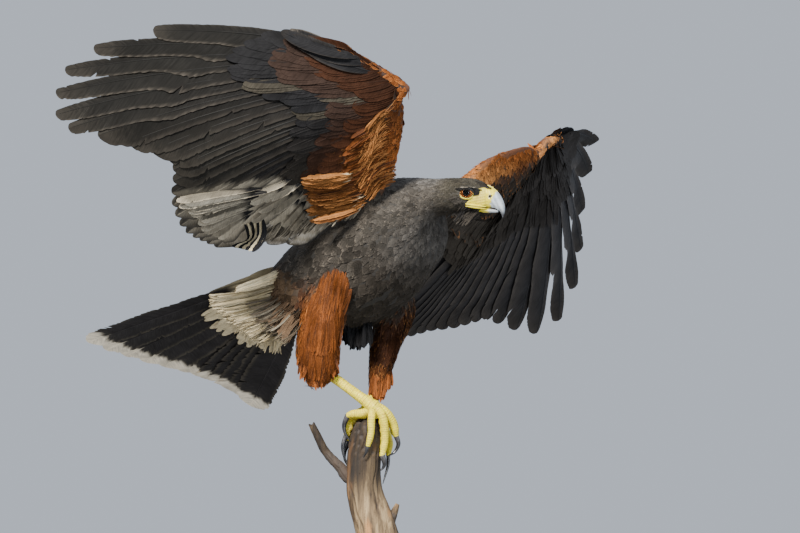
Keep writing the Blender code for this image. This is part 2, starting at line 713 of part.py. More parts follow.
class Wing:
    """The frame of one wing: bones, the line of quills and a fan of flight feathers."""

    def __init__(self, joints, aims, side, overlap, patagium, twist):
        self.side = side
        self.overlap = overlap
        self.patagium = patagium
        self.twist = twist
        self.joints = {name: np.array(place, dtype=float) for name, place in joints.items()}
        self.lengths = np.array(PRIMARY_LENGTHS + SECONDARY_LENGTHS + TERTIAL_LENGTHS, float)
        aims = [unit(aim) for aim in read_keys(aims, len(self.lengths))]
        self.aims = softened(aims, AIM_ROUNDS)
        self.roots = softened(self.root_places(), ROOT_ROUNDS)

    def root_places(self):
        joints = self.joints
        places = []
        for index in range(len(PRIMARY_LENGTHS)):
            share = (index + 0.3) / len(PRIMARY_LENGTHS)
            places.append(joints["tip"] + (joints["wrist"] - joints["tip"]) * share)
        for index in range(len(SECONDARY_LENGTHS)):
            share = (index + 0.7) / (len(SECONDARY_LENGTHS) + 0.2)
            places.append(joints["wrist"] + (joints["elbow"] - joints["wrist"]) * share)
        for index in range(len(TERTIAL_LENGTHS)):
            share = (index + 0.7) / (len(TERTIAL_LENGTHS) + 1.2)
            places.append(joints["elbow"] + (joints["shoulder"] - joints["elbow"]) * share)
        return places

    def shaft(self, index, distance):
        """The point on a feather's shaft at a distance from its root."""
        length = self.lengths[index]
        share = distance / length
        neighbour = self.aims[min(index + 1, len(self.aims) - 1)] - self.aims[max(index - 1, 0)]
        aim = unit(self.aims[index])
        trailing = neighbour - aim * np.dot(neighbour, aim)
        bow = -unit(trailing) * length * 0.035 * 4 * share * (1 - share)
        return self.roots[index] + self.aims[index] * distance + bow

    def frame(self, index, distance):
        """Directions along the shaft, toward the body and out of the under side."""
        step = 2.0
        along = unit(self.shaft(index, distance + step) - self.shaft(index, distance - step))
        outer = max(index - 1, 0)
        inner = min(index + 1, len(self.lengths) - 1)
        clear = max(distance, CLEAR_OF_ROOTS)
        across = self.shaft(inner, clear) - self.shaft(outer, clear)
        across = unit(across - along * np.dot(across, along))
        under = np.cross(along, across) * self.side
        return along, across, under

    def abreast(self, index, other, distance):
        """Where another shaft passes the point at a distance along this one."""
        here = self.shaft(index, distance)
        along = self.frame(index, distance)[0]
        place = distance
        for _ in range(3):
            place -= np.dot(self.shaft(other, place) - here, along)
        return self.shaft(other, place)

    def beside(self, index, distance, step):
        """How far off and how much lower the next shafts lie, on one side of a shaft."""
        here = self.shaft(index, distance)
        _, across, under = self.frame(index, distance)
        steps = [(0.0, 0.0)]
        for count in (1, 2, 3):
            other = index + step * count
            if not 0 <= other < len(self.lengths):
                break
            away = self.abreast(index, other, distance) - here
            reach = max(np.dot(away, across) * step, steps[-1][0] + 0.8)
            steps.append((reach, np.dot(away, under)))
        return steps

    def stack(self, index, distance):
        """How far apart the sheets of neighbouring feathers lie here."""
        outer = max(index - 1, 0)
        inner = min(index + 1, len(self.lengths) - 1)
        across = self.frame(index, distance)[1]
        spread = self.shaft(inner, distance) - self.shaft(outer, distance)
        spacing = np.dot(spread, across) / (inner - outer)
        return max(WING_STACK, STACK_SLOPE * spacing)

    def turned(self, index, distance):
        """Directions toward the body and out of the under side, once a finger has turned."""
        _, across, under = self.frame(index, distance)
        if index >= len(FINGER_STARTS):
            return across, under
        beyond = distance / self.lengths[index] - FINGER_STARTS[index]
        angle = self.twist * min(max(beyond / TWIST_SPAN, 0), 1)
        return (across * math.cos(angle) - under * math.sin(angle),
                under * math.cos(angle) + across * math.sin(angle))

    def edge(self, index, distance, width, limit, step):
        """A point beside a shaft, on a louvre whose feathers lie a stack apart."""
        steps = self.beside(index, distance, step)
        if len(steps) == 1:
            steps = [(reach, -drop) for reach, drop in self.beside(index, distance, -step)]
        width = min(width, max(limit * steps[1][0], QUILL))
        reaches = [reach for reach, _ in steps]
        drops = [drop for _, drop in steps]
        level = np.interp(width, reaches, range(len(steps)))
        if width > reaches[-1]:
            last = reaches[-1] - reaches[-2]
            extra = (width - reaches[-1]) / last
            level = len(steps) - 1 + extra
            drop = drops[-1] + (drops[-1] - drops[-2]) * min(extra, 1.0)
        else:
            drop = np.interp(width, reaches, drops)
        across, under = self.turned(index, distance)
        place = self.shaft(index, distance) + across * width * step
        return place + under * (drop + level * self.stack(index, distance) * step)

    def vane(self, index, form, first, last, levels=0, spread=1.0):
        """One feather along a shaft, tilted as a louvre so that neighbours overlap.

        Levels counts the sheets that it clears, below the flight feathers or above them."""
        rings = []
        for share, lead, trail in form:
            distance = first + (last - first) * share
            under = self.turned(index, distance)[1]
            up = -under * VANE_THICKNESS / 2
            lift = self.stack(index, distance) * levels
            if levels != 0:
                lift += math.copysign(COVERT_MARGIN, levels)
            if index >= len(PRIMARY_LENGTHS) + len(SECONDARY_LENGTHS) and levels <= 0:
                lift -= TERTIAL_RISE
            raised = under * lift
            front = self.edge(index, distance, lead, self.overlap[0] * spread, -1) + raised
            rear = self.edge(index, distance, trail, self.overlap[1] * spread, 1) + raised
            rings.append([front + up, rear + up, rear - up, front - up])
        return mirrored_loft("vane", rings)


def vane_solid(points, leads, trails, unders, form, folded=False):
    """A thin closed vane; a folded one has its own slope on each side of the shaft."""
    rings = []
    for place, point in enumerate(points):
        _, lead, trail = form[place]
        up = -unders[place] * VANE_THICKNESS / 2
        edge = point + leads[place] * lead
        rear = point + trails[place] * trail
        if folded:
            ring = [edge + up, point + up * 1.5, rear + up, rear - up, point - up * 1.5, edge - up]
        else:
            ring = [edge + up, rear + up, rear - up, edge - up]
        rings.append(ring)
    return mirrored_loft("vane", rings)


def mirrored_loft(name, rings):
    """A skin over rings whose two faces are split into the same triangles."""
    sides = len(rings[0])
    upper = sides // 2
    points = [point for ring in rings for point in ring]
    faces = []
    for row in range(len(rings) - 1):
        for side in range(sides):
            beside = (side + 1) % sides
            low = row * sides
            high = low + sides
            if side < upper:
                faces.append((low + side, low + beside, high + beside))
                faces.append((low + side, high + beside, high + side))
            else:
                faces.append((low + side, low + beside, high + side))
                faces.append((low + beside, high + beside, high + side))
    last = (len(rings) - 1) * sides
    for side in range(1, sides - 1):
        faces.append((0, side + 1, side))
        faces.append((last, last + side, last + side + 1))
    return solid(name, points, faces)


def finger_form(start):
    """An outer primary: broad to its notch, then a narrow finger."""
    return ((0, 3, 6), (0.17, 6.5, 18), (start - 0.1, 7.5, 26),
            (start + 0.01, 6, 13), (0.92, 5.2, 9.5), (1, 2, 3))


def flight_form(index):
    if index < len(FINGER_STARTS):
        return finger_form(FINGER_STARTS[index])
    if index < len(PRIMARY_LENGTHS):
        return INNER_PRIMARY
    if index < len(PRIMARY_LENGTHS) + len(SECONDARY_LENGTHS):
        return SECONDARY
    return TERTIAL


def wing_core(wing, name):
    """The flesh of a wing with its small coverts, from the shoulder to the hand's end."""
    joints = wing.joints
    count = len(PRIMARY_LENGTHS) + len(SECONDARY_LENGTHS)
    shoulder, elbow, wrist, tip = (joints[key] for key in ("shoulder", "elbow", "wrist", "tip"))
    last = len(wing.lengths) - 1
    chord_in = wing.aims[last]
    chord_elbow = wing.aims[count - 1]
    chord_wrist = wing.aims[len(PRIMARY_LENGTHS)]
    chord_tip = wing.aims[0]
    outward = unit(wrist - elbow)
    fore = shoulder + (wrist - shoulder) * 0.36
    middle = shoulder + (wrist - shoulder) * 0.7
    fore_bulge = unit(fore - elbow) * wing.patagium[0]
    middle_bulge = unit(middle - elbow) * wing.patagium[1]
    hand = tip + (wrist - tip) * 0.5
    chord_hand = wing.aims[5]
    along_hand = unit(tip - wrist)
    # Leading point, trailing point and thickness of each section.
    sections = (
        (shoulder - chord_in * 18, shoulder + chord_in * 34, 30),
        (fore - chord_in * 12 + fore_bulge, elbow * 0.45 + shoulder * 0.55 + chord_in * 18, 22),
        (middle - chord_in * 11 + middle_bulge, elbow + chord_elbow * 9, 17),
        (wrist - outward * 16 - chord_wrist * 10,
         elbow * 0.4 + wrist * 0.6 + chord_wrist * 9, 15),
        (wrist + outward * 1 - chord_wrist * 5, wrist + chord_wrist * 10, 14),
        (hand - chord_hand * 8, hand + chord_hand * 10, 11),
        (tip - chord_tip * 2 + along_hand * 4, tip + chord_tip * 8 - along_hand * 3, 7),
    )
    rows = []
    for lead, trail, thickness in sections:
        half = (trail - lead) / 2
        if np.allclose(lead, sections[0][0]):
            under = wing.frame(last, 20)[2]
        else:
            nearest = int(np.argmin(np.linalg.norm(wing.roots - trail, axis=1)))
            under = wing.frame(nearest, 20)[2]
        rows.append(np.concatenate([(lead + trail) / 2, half, unit(under) * thickness / 2]))
    rings = [oval(row[:3], row[3:6], row[6:], 8, 2.0) for row in smooth_rows(rows, 2)]
    return loft(name, rings)


def covert_vanes(wing, index):
    """The coverts of one quill on both faces of the wing."""
    elbow = len(PRIMARY_LENGTHS) + len(SECONDARY_LENGTHS)
    end = wing.lengths[index] * COVERT_REACH
    form = GREATER_COVERT
    if index < elbow <= index + COVERT_STEP:
        form = [(share, lead, min(trail, COVERT_WEB_AT_ELBOW)) for share, lead, trail in form]
    return [wing.vane(index, form, COVERT_START, end, levels, COVERT_SPREAD)
            for levels in (COVERT_LEVELS, -COVERT_LEVELS)]


def wing_feathers(wing, first, last):
    """Flight feathers and tiers of coverts on both faces, over a span of quills."""
    pieces = []
    for index in range(first, last + 1):
        length = wing.lengths[index]
        pieces.append(wing.vane(index, flight_form(index), 0, length))
        if index % COVERT_STEP == 1:
            pieces += covert_vanes(wing, index)
    return pieces


def alula(wing, feathers):
    """The short feathers on the thumb, along the leading edge."""
    joints = wing.joints
    pieces = []
    along, across, under = wing.frame(0, 20)
    for rank, (length, share, lean) in enumerate(feathers):
        root = joints["wrist"] + (joints["tip"] - joints["wrist"]) * share
        root = root - across * 2 - under * (THUMB_DROP + THUMB_STEP * rank)
        aim = unit(along - across * lean)
        side = unit(across - aim * np.dot(across, aim))
        count = len(ALULA_FEATHER)
        points = [root + aim * length * place for place, _, _ in ALULA_FEATHER]
        tilted = unit(side + under * THUMB_TILT)
        normal = np.cross(aim, tilted) * wing.side
        pieces.append(vane_solid(points, [-tilted] * count, [tilted] * count, [normal] * count,
                                 ALULA_FEATHER))
    return pieces


def make_wing(wing, label, thumb, torso, looks):
    """Upper arm, forearm and hand of one wing, each with its feathers."""
    primaries = len(PRIMARY_LENGTHS)
    flight = primaries + len(SECONDARY_LENGTHS)
    total = len(wing.lengths)
    places = {
        "wrist": (wing.roots[primaries - 1] + wing.roots[primaries]) / 2,
        "elbow": (wing.roots[flight - 1] + wing.roots[flight]) / 2,
    }
    spans = {
        "arm": (flight, total - 1),
        "forearm": (primaries, flight - 1),
        "hand": (0, primaries - 1),
    }
    cuts = {}
    for key, inner in (("wrist", primaries), ("elbow", flight)):
        along = unit(wing.aims[inner - 1] + wing.aims[inner])
        under = unit(wing.frame(inner, 20)[2] + wing.frame(inner - 1, 20)[2])
        normal = unit(np.cross(along, under))
        if np.dot(normal, wing.roots[inner - 2] - wing.roots[inner + 1]) < 0:
            normal = -normal
        cuts[key] = normal
    cores = {}
    for part in spans:
        core = wing_core(wing, f"core_{part}")
        outward = 1 if part == "hand" else -1
        slice_off(core, places["wrist"] + cuts["wrist"] * outward * GAP / 2, cuts["wrist"] * -outward)
        if part == "arm":
            slice_off(core, places["elbow"] - cuts["elbow"] * GAP / 2, cuts["elbow"])
        if part == "forearm":
            slice_off(core, places["elbow"] + cuts["elbow"] * GAP / 2, -cuts["elbow"])
        cores[part] = core
    walls = {part: grown(core, GAP) for part, core in cores.items()}
    made = []
    for part, (first, last) in spans.items():
        pieces = wing_feathers(wing, first, last)
        if part == "hand":
            pieces += alula(wing, thumb)
        for piece in pieces:
            for other, wall in walls.items():
                if other != part and meets(piece, wall):
                    carve(piece, copy_of(wall, "wall"))
        core = cores[part]
        join(core, pieces)
        if part == "arm":
            carve(core, grown(torso, GAP))
        made.append(finish(core, f"wing_{label}_{part}", looks["flight"]))
    for wall in walls.values():
        bpy.data.objects.remove(wall, do_unlink=True)
    return made


class Tail:
    """The frame of the tail's fan, from its right edge to its left one."""

    def __init__(self):
        right, middle, left = (np.array(edge) for edge in TAIL_EDGES)
        pull = 2 * middle - (right + left) / 2
        self.aims = []
        self.roots = []
        for index in range(TAIL_FEATHERS):
            t = index / (TAIL_FEATHERS - 1)
            self.aims.append(unit((1 - t) ** 2 * right + 2 * t * (1 - t) * pull + t ** 2 * left))
            aside = (TAIL_FEATHERS - 1) / 2 - index
            self.roots.append(TAIL_BASE + TAIL_ROOT_ROW * aside)

    def shaft(self, index, distance):
        return self.roots[index] + self.aims[index] * distance

    def frame(self, index, distance):
        """Directions along the shaft, toward the left edge and out of the under side."""
        along = self.aims[index]
        outer = max(index - 1, 0)
        inner = min(index + 1, TAIL_FEATHERS - 1)
        across = self.shaft(inner, distance) - self.shaft(outer, distance)
        across = across - along * np.dot(across, along)
        spacing = np.linalg.norm(across) / (inner - outer)
        across = unit(across)
        return along, across, np.cross(along, across), spacing

    def vane(self, index, form, length, lift=0.0, first=0.0):
        """One feather of the fan, its outer web above its neighbour's inner one."""
        points, leads, trails, unders = [], [], [], []
        middle = TAIL_FEATHERS // 2
        sized = []
        for share, outer_web, inner_web in form:
            distance = first + (length - first) * share
            along, across, under, spacing = self.frame(index, max(distance, 20.0))
            slope = min(TAIL_STACK / spacing, 0.45)
            webs = (outer_web, inner_web)
            right_web, left_web = webs if index < middle else reversed(webs)
            toward_right = unit(-across - under * slope)
            toward_left = unit(across + under * slope)
            if index >= middle:
                toward_left = unit(across - under * slope)
                toward_right = unit(-across + under * slope)
            if index == middle:
                toward_right = unit(-across - under * slope)
            if index == middle - 1:
                left_web = min(left_web, spacing * 0.72)
            sized.append((share, right_web, left_web))
            points.append(self.shaft(index, distance) + under * lift)
            leads.append(toward_right)
            trails.append(toward_left)
            unders.append(under)
        return vane_solid(points, leads, trails, unders, sized, folded=True)

    def covert(self, place, length, lift):
        """One covert over the tail's root, at a place among the shafts."""
        lower = min(int(place), TAIL_FEATHERS - 2)
        share = place - lower
        aim = unit(self.aims[lower] * (1 - share) + self.aims[lower + 1] * share)
        root = self.roots[lower] * (1 - share) + self.roots[lower + 1] * share
        across, under = self.frame(lower, 40)[1:3]
        start = TAIL_COVERT_START
        points = [root + aim * (start + (length - start) * spot) + under * lift
                  for spot, _, _ in TAIL_COVERT]
        count = len(points)
        return vane_solid(points, [-across] * count, [across] * count, [under] * count, TAIL_COVERT)


def make_tail(rump, looks):
    """The fan of tail feathers with tiers of coverts over its root, on a flat core."""
    tail = Tail()
    rings = []
    for distance, across, deep in TAIL_CORE:
        centre = (tail.shaft(5, distance) + tail.shaft(6, distance)) / 2
        side = unit(tail.shaft(8, distance) - tail.shaft(3, distance))
        under = tail.frame(5, distance)[2]
        rings.append(oval(centre + under * 1.5, side * across, under * deep, 14))
    core = loft("tail", rings)
    pieces = [tail.vane(index, TAIL_VANE, TAIL_LENGTH) for index in range(TAIL_FEATHERS)]
    centre = (TAIL_FEATHERS - 1) / 2
    for side, places in ((1, UNDER_TAIL_COVERTS), (-1, UPPER_TAIL_COVERTS)):
        for place, length in places:
            lift = TAIL_COVERT_LIFT + TAIL_COVERT_SLOPE * abs(place - centre)
            pieces.append(tail.covert(place, length, side * lift))
    join(core, pieces)
    carve(core, grown(rump, GAP))
    return finish(core, "tail", looks["flight"])


def main():
    remove_all_objects()
    looks = {
        "plumage": material("plumage", (0.045, 0.036, 0.030), 0.75),
        "flight": material("flight_feathers", (0.030, 0.028, 0.030), 0.6),
        "rufous": material("rufous_feathers", (0.24, 0.065, 0.022), 0.75),
        "scale": material("yellow_scale", (0.75, 0.52, 0.10), 0.5),
        "horn": material("horn", (0.02, 0.02, 0.024), 0.3),
        "wood": material("wood", (0.33, 0.25, 0.18), 0.85),
        "eye": material("eye", (0.10, 0.035, 0.008), 0.1),
        "bill": material("bill", (0.22, 0.24, 0.28), 0.35),
        "stand": material("stand", (0.09, 0.09, 0.09), 0.5),
    }
    rump, torso, neck, head = make_body(looks)
    add_face(head, looks)
    snag = make_snag(looks)
    make_stand(looks)
    right = Wing(RIGHT_WING, RIGHT_AIMS, 1, RIGHT_OVERLAP, RIGHT_PATAGIUM, RIGHT_TWIST)
    left = Wing(LEFT_WING, LEFT_AIMS, -1, LEFT_OVERLAP, LEFT_PATAGIUM, LEFT_TWIST)
    make_wing(right, "right", RIGHT_ALULA, torso, looks)
    make_wing(left, "left", LEFT_ALULA, torso, looks)
    make_tail(rump, looks)
    right_leg = make_leg("right", RIGHT_THIGH, RIGHT_SHANK, RIGHT_TOES, RIGHT_CLAWS,
                         torso, [rump], snag, looks)
    make_leg("left", LEFT_THIGH, LEFT_SHANK, LEFT_TOES, LEFT_CLAWS,
             torso, [rump, *right_leg], snag, looks)


main()
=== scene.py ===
"""The look of a life-size still model of a Harris's hawk that lands on a snag.

Sizes are in millimetres, in the frame of the solids: +X is the picture's right, +Y points
away from the viewer and +Z is up. One skin lies a coat's depth inside the solids, and
feathers of solid mesh grow over it along the lie of the plumage.
"""
import itertools
import math

import bmesh
import bpy
import numpy as np
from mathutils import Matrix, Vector, noise
from mathutils.bvhtree import BVHTree
from mathutils.kdtree import KDTree


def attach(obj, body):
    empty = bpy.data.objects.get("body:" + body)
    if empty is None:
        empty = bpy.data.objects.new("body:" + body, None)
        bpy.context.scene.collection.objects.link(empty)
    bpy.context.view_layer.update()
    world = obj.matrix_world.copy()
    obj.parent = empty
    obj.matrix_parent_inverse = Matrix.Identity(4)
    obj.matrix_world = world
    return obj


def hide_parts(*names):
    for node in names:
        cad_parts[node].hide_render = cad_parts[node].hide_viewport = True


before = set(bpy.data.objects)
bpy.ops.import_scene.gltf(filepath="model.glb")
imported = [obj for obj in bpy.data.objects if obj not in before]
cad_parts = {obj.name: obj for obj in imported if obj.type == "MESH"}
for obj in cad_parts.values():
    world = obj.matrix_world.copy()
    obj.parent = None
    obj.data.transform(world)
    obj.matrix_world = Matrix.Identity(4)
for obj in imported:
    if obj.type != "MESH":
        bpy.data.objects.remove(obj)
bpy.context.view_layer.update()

MM = 0.001
DRAW = np.random.default_rng(41)

# How the bird is placed: its heading, the pitch of its body and where the tail starts.
HEADING = math.radians(-45)
BODY_PITCH = math.radians(26)
TAIL_BASE = np.array([-76.0, 61.0, 370.0])
HEAD_HEADING = math.radians(-18)
HEAD_PITCH = math.radians(-4)
HEAD_CENTRE = np.array([80.0, -90.0, 458.0])

AHEAD = np.array([math.cos(HEADING), math.sin(HEADING), 0.0])
RIGHT = np.array([math.sin(HEADING), -math.cos(HEADING), 0.0])
UP = np.array([0.0, 0.0, 1.0])
SPINE = math.cos(BODY_PITCH) * AHEAD + math.sin(BODY_PITCH) * UP
BACK = math.cos(BODY_PITCH) * UP - math.sin(BODY_PITCH) * AHEAD
FACE = np.array([math.cos(HEAD_HEADING), math.sin(HEAD_HEADING), 0.0])
FACE = math.cos(HEAD_PITCH) * FACE + math.sin(HEAD_PITCH) * UP
CHEEK = np.array([math.sin(HEAD_HEADING), -math.cos(HEAD_HEADING), 0.0])
CROWN = np.cross(CHEEK, FACE)

# Stations of the trunk: place along the spine, reach above and below it, half the width.
TRUNK = (
    (-52, 6, 14, 17), (-28, 18, 34, 29), (0, 27, 56, 41), (35, 33, 74, 51),
    (80, 36, 80, 56), (120, 36, 78, 56), (152, 35, 68, 52), (178, 32, 55, 46),
)
# Stations of the head: place ahead of its centre, reach above and below, half the width.
HEAD = (
    (-18, 16.5, 26, 24), (-6, 18, 19.5, 22.5), (6, 18.8, 16.5, 21), (17, 19.6, 15, 18.5),
    (27, 18.2, 13.5, 13.5), (34, 15, 12.5, 9.5), (38, 12.4, 9.5, 7.2),
)
UPPER_BILL = (
    ((36, 13.6), (36, -8.0), 7.6), ((42, 10.6), (41.5, -8.4), 6.6),
    ((48, 6.0), (45.2, -9.0), 5.4), ((52.4, -0.5), (47.4, -10.2), 4.3),
    ((54.8, -7.0), (49.8, -11.4), 3.1), ((54.9, -12.5), (51.6, -14.0), 1.8),
    ((53.6, -17.6), (53.0, -17.4), 0.4),
)
LOWER_BILL = (
    ((27, -9.2), (27, -13.8), 6.0), ((37, -9.4), (37, -13.9), 5.3),
    ((44, -10.0), (43.6, -13.4), 3.9), ((48.3, -10.9), (48.0, -12.7), 2.0),
)
NOSTRIL_PLACE = (41.0, 7.2, 2.8)
EYE_PLACE = (18.0, 11.8, 4.7)
EYE_RADIUS = 8.4
EYE_AXIS = (0.26, 0.96, 0.02)
# Half the width and half the height of the opening between the lids, as shares of the eye.
EYE_OPENING = (0.79, 0.62)
# The brow cuts the opening's upper half down to this share and reaches this much further up.
BROW_CUT = 0.62
BROW_REACH = 1.2
# The lid from the opening outward: shares of the opening and of the eye's radius.
LID_SECTION = ((1.0, 1.0), (1.0, 1.035), (1.07, 1.08), (1.17, 1.09), (1.28, 1.05), (1.36, 0.94))
BROW = ((6, 16.9, 12.5), (13, 16.6, 12.9), (21, 14.9, 11.7), (28, 12.2, 8.6))
GAPE = ((19.5, 17.0, -7.2), (25, 14.2, -7.7), (31, 11.0, -8.2), (38, 7.4, -8.7))
# How far ahead the bare yellow skin starts, at heights above the head's centre.
LORE_LINE = ((-14, 31), (-9, 25), (-7.2, 19.5), (-1.5, 22.8), (2.5, 26), (6.5, 29),
             (9.8, 30.5), (11.5, 36), (13, 40), (20, 42))

RIGHT_WING = {
    "shoulder": (-2, -71, 451), "elbow": (-37, -134, 505),
    "wrist": (34, -164, 563), "tip": (-26, -175, 603),
}
LEFT_WING = {
    "shoulder": (74, -7, 453), "elbow": (115, 69, 429),
    "wrist": (173, 60, 512), "tip": (190, 132, 519),
}
RIGHT_PATAGIUM = (9, 4)
LEFT_PATAGIUM = (22, 12)
PRIMARY_LENGTHS = (195, 257, 290, 306, 314, 309, 287, 265, 248, 236)
SECONDARY_LENGTHS = (233, 232, 231, 228, 223, 218, 212, 205, 198, 191, 184)
TERTIAL_LENGTHS = (166, 150, 134, 116)
PRIMARIES = len(PRIMARY_LENGTHS)
FLIGHT = PRIMARIES + len(SECONDARY_LENGTHS)
RIGHT_AIMS = {
    0: (-0.98, 0.174, 0.099), 1: (-1.0, 0.03, 0.012), 2: (-0.999, 0.0, -0.039),
    4: (-0.986, 0.0, -0.164), 6: (-0.978, 0.0, -0.209), 8: (-0.962, 0.0, -0.272),
    10: (-0.944, 0.0, -0.329), 12: (-0.928, 0.02, -0.38), 14: (-0.887, 0.09, -0.453),
    16: (-0.821, 0.25, -0.506), 18: (-0.74, 0.40, -0.519), 20: (-0.675, 0.50, -0.53),
    24: (-0.60, 0.60, -0.50),
}
LEFT_AIMS = {
    0: (0.21, 0.98, -0.01), 1: (0.13, 0.98, -0.125), 2: (0.10, 0.96, -0.25),
    3: (0.11, 0.92, -0.36), 4: (0.10, 0.87, -0.465), 5: (0.04, 0.79, -0.60),
    6: (-0.03, 0.71, -0.69), 8: (-0.19, 0.64, -0.73), 10: (-0.27, 0.60, -0.75),
    12: (-0.33, 0.61, -0.72), 14: (-0.40, 0.60, -0.69), 16: (-0.47, 0.56, -0.69),
    20: (-0.60, 0.47, -0.65), 24: (-0.60, 0.55, -0.55),
}
WING_STACK = 0.9
STACK_SLOPE = 0.075
RIGHT_OVERLAP = (0.7, 1.5)
LEFT_OVERLAP = (0.45, 1.2)
AIM_ROUNDS = (1, 14, 1)
ROOT_ROUNDS = (4, 8, 4)
QUILL = 1.6
CLEAR_OF_ROOTS = 60
TERTIAL_RISE = 2.6

TAIL_LENGTH = 232
TAIL_FEATHERS = 12
TAIL_EDGES = ((-0.885, 0.36, -0.31), (-0.49, 0.79, -0.40), (-0.245, 0.815, -0.468))
TAIL_STACK = 2.4
TAIL_ROOT_ROW = 2.2 * RIGHT + 2.4 * UP

# Forms of the feathers: share of the length, widths of the leading and the trailing web.
INNER_PRIMARY = ((0, 2, 3), (0.06, 5, 11), (0.17, 8, 19), (0.5, 10, 27), (0.84, 10, 24),
                 (0.93, 8.5, 19), (1, 4, 8))
SECONDARY = ((0, 2, 3), (0.06, 6, 11), (0.17, 9, 18), (0.5, 13, 29), (0.86, 12, 26),
             (0.94, 10, 20), (1, 5, 8))
TERTIAL = ((0, 3, 4), (0.1, 7, 10), (0.3, 9, 14), (0.84, 9, 14.5), (1, 4, 6))
TAIL_VANE = ((0, 1, 1), (0.12, 2, 3), (0.3, 9, 11), (0.62, 17, 20), (0.93, 18, 22), (1, 12, 15))
COVERT = ((0, 2, 3), (0.3, 6, 8), (0.7, 6.5, 9.5), (0.92, 4.5, 6.5), (1, 1.5, 2))
SLIM = ((0, 1, 1), (0.3, 5, 5), (0.7, 6, 6), (0.9, 4.6, 4.6), (1, 1.6, 1.6))
COVERTS_EACH = 3
ALULA = ((0, 2, 2), (0.3, 5, 7), (0.8, 6, 9), (1, 2, 3))
FINGER_STARTS = (0.55, 0.6, 0.65, 0.68, 0.71, 0.74)
RIGHT_TWIST = 0.0
LEFT_TWIST = math.radians(34)
TWIST_SPAN = 0.2
RIGHT_ALULA = ((96, 0.5, 0.2), (84, 0.42, 0.22), (72, 0.34, 0.24))
LEFT_ALULA = ((62, 0.4, -0.2), (55, 0.34, -0.18), (48, 0.28, -0.16))
# Tiers of wing coverts: share of the feather's length, how far above the flight feathers.
COVERT_TIERS = (("greater", 0.42, 2.0, 1.2), ("median", 0.29, 2.1, 2.4), ("lesser", 0.18, 2.2, 3.4))

RIGHT_THIGH = (
    ((-38, -22, 388), 15, 18), ((-43, -24, 366), 20, 24), ((-48, -21, 344), 22.5, 27),
    ((-53, -14, 318), 22.5, 27), ((-54, -6, 296), 22, 25), ((-53, -2, 280), 17, 19),
    ((-55, -2, 268), 8, 9),
)
LEFT_THIGH = (
    ((16, 24, 380), 15, 18), ((22, 30, 356), 21, 25), ((21, 32, 334), 20.5, 25),
    ((14, 30, 311), 16.5, 22), ((9, 26, 288), 12.5, 17), ((5, 20, 268), 8.5, 11),
    ((4, 15, 255), 4.5, 6),
)
RIGHT_SHANK = ((-52, 4, 284), (-38, -2, 277), (-24, -7, 267), (-9, -12, 256), (2, -14, 248))
LEFT_SHANK = ((12, 42, 292), (8, 34, 279), (3, 25, 265), (-2, 16, 253), (-4, 11, 246))
SHANK_RADII = (5.4, 5.2, 5.0, 5.4, 7.0)
RIGHT_TOES = {
    "outer": ((1, -15, 247), (-0.5, -21.5, 237), (-1, -22.5, 222), (-4, -21.5, 209)),
    "middle": ((4, -16, 247), (10, -18.5, 240), (12.5, -15.5, 226), (12.5, -13.5, 213),
               (10, -14.0, 199)),
    "inner": ((5, -14, 248), (13, -12, 243), (20.5, -7, 232), (24, -3, 219)),
    "hind": ((-1, -12, 245), (-9, -9, 241.5), (-17, -5, 241), (-24.5, -1, 239.5)),
}
RIGHT_CLAWS = {
    "outer": ((-3.7, -21.7, 210), (-5.6, -21.8, 203.5), (-8.5, -20.0, 198)),
    "middle": ((10.2, -14, 200), (12.4, -13.6, 192.5), (11.4, -13.6, 188), (8.4, -14.4, 184.5)),
    "inner": ((23.8, -3.2, 220), (26.4, -2.5, 211), (22.5, -3.5, 203), (16, -6, 199)),
    "hind": ((-24, -1, 239.8), (-27.8, -1, 230), (-26.4, -2, 221), (-21.4, -4, 214)),
}
LEFT_TOES = {
    "outer": ((-2, 13, 244), (4, 20.5, 237), (13, 17.5, 226), (17.5, 11, 212), (16, 9, 199)),
    "middle": ((-4, 13, 245), (-4, 22.5, 236), (-5, 23, 220), (-7, 22.5, 204)),
    "inner": ((-5, 12, 245), (-14, 19, 238), (-20, 17.5, 226), (-23, 15, 212)),
    "hind": ((-6, 10, 244), (-14, 9, 240.5), (-22.5, 8.5, 231), (-25.5, 7.5, 219)),
}
LEFT_CLAWS = {
    "outer": ((16.2, 9.2, 200), (16.0, 7, 190), (13.4, 4.5, 180), (10.8, 2, 171)),
    "middle": ((-6.8, 22.6, 205), (-9.5, 23.0, 195), (-10.5, 21.0, 188), (-10, 19, 183)),
    "inner": ((-22.8, 15.2, 213), (-27.0, 13.5, 204), (-27.5, 11.0, 196), (-25.5, 9.0, 190)),
    "hind": ((-25.4, 7.4, 220), (-29.0, 5.5, 210), (-28.4, 3.5, 200), (-24.8, 1.5, 192)),
}
TOE_RADII = {"outer": (4.4, 3.6), "middle": (4.8, 4.0), "inner": (5.2, 4.6), "hind": (5.2, 4.6)}
CLAW_RADII = {"outer": 2.3, "middle": 3.2, "inner": 3.0, "hind": 3.1}

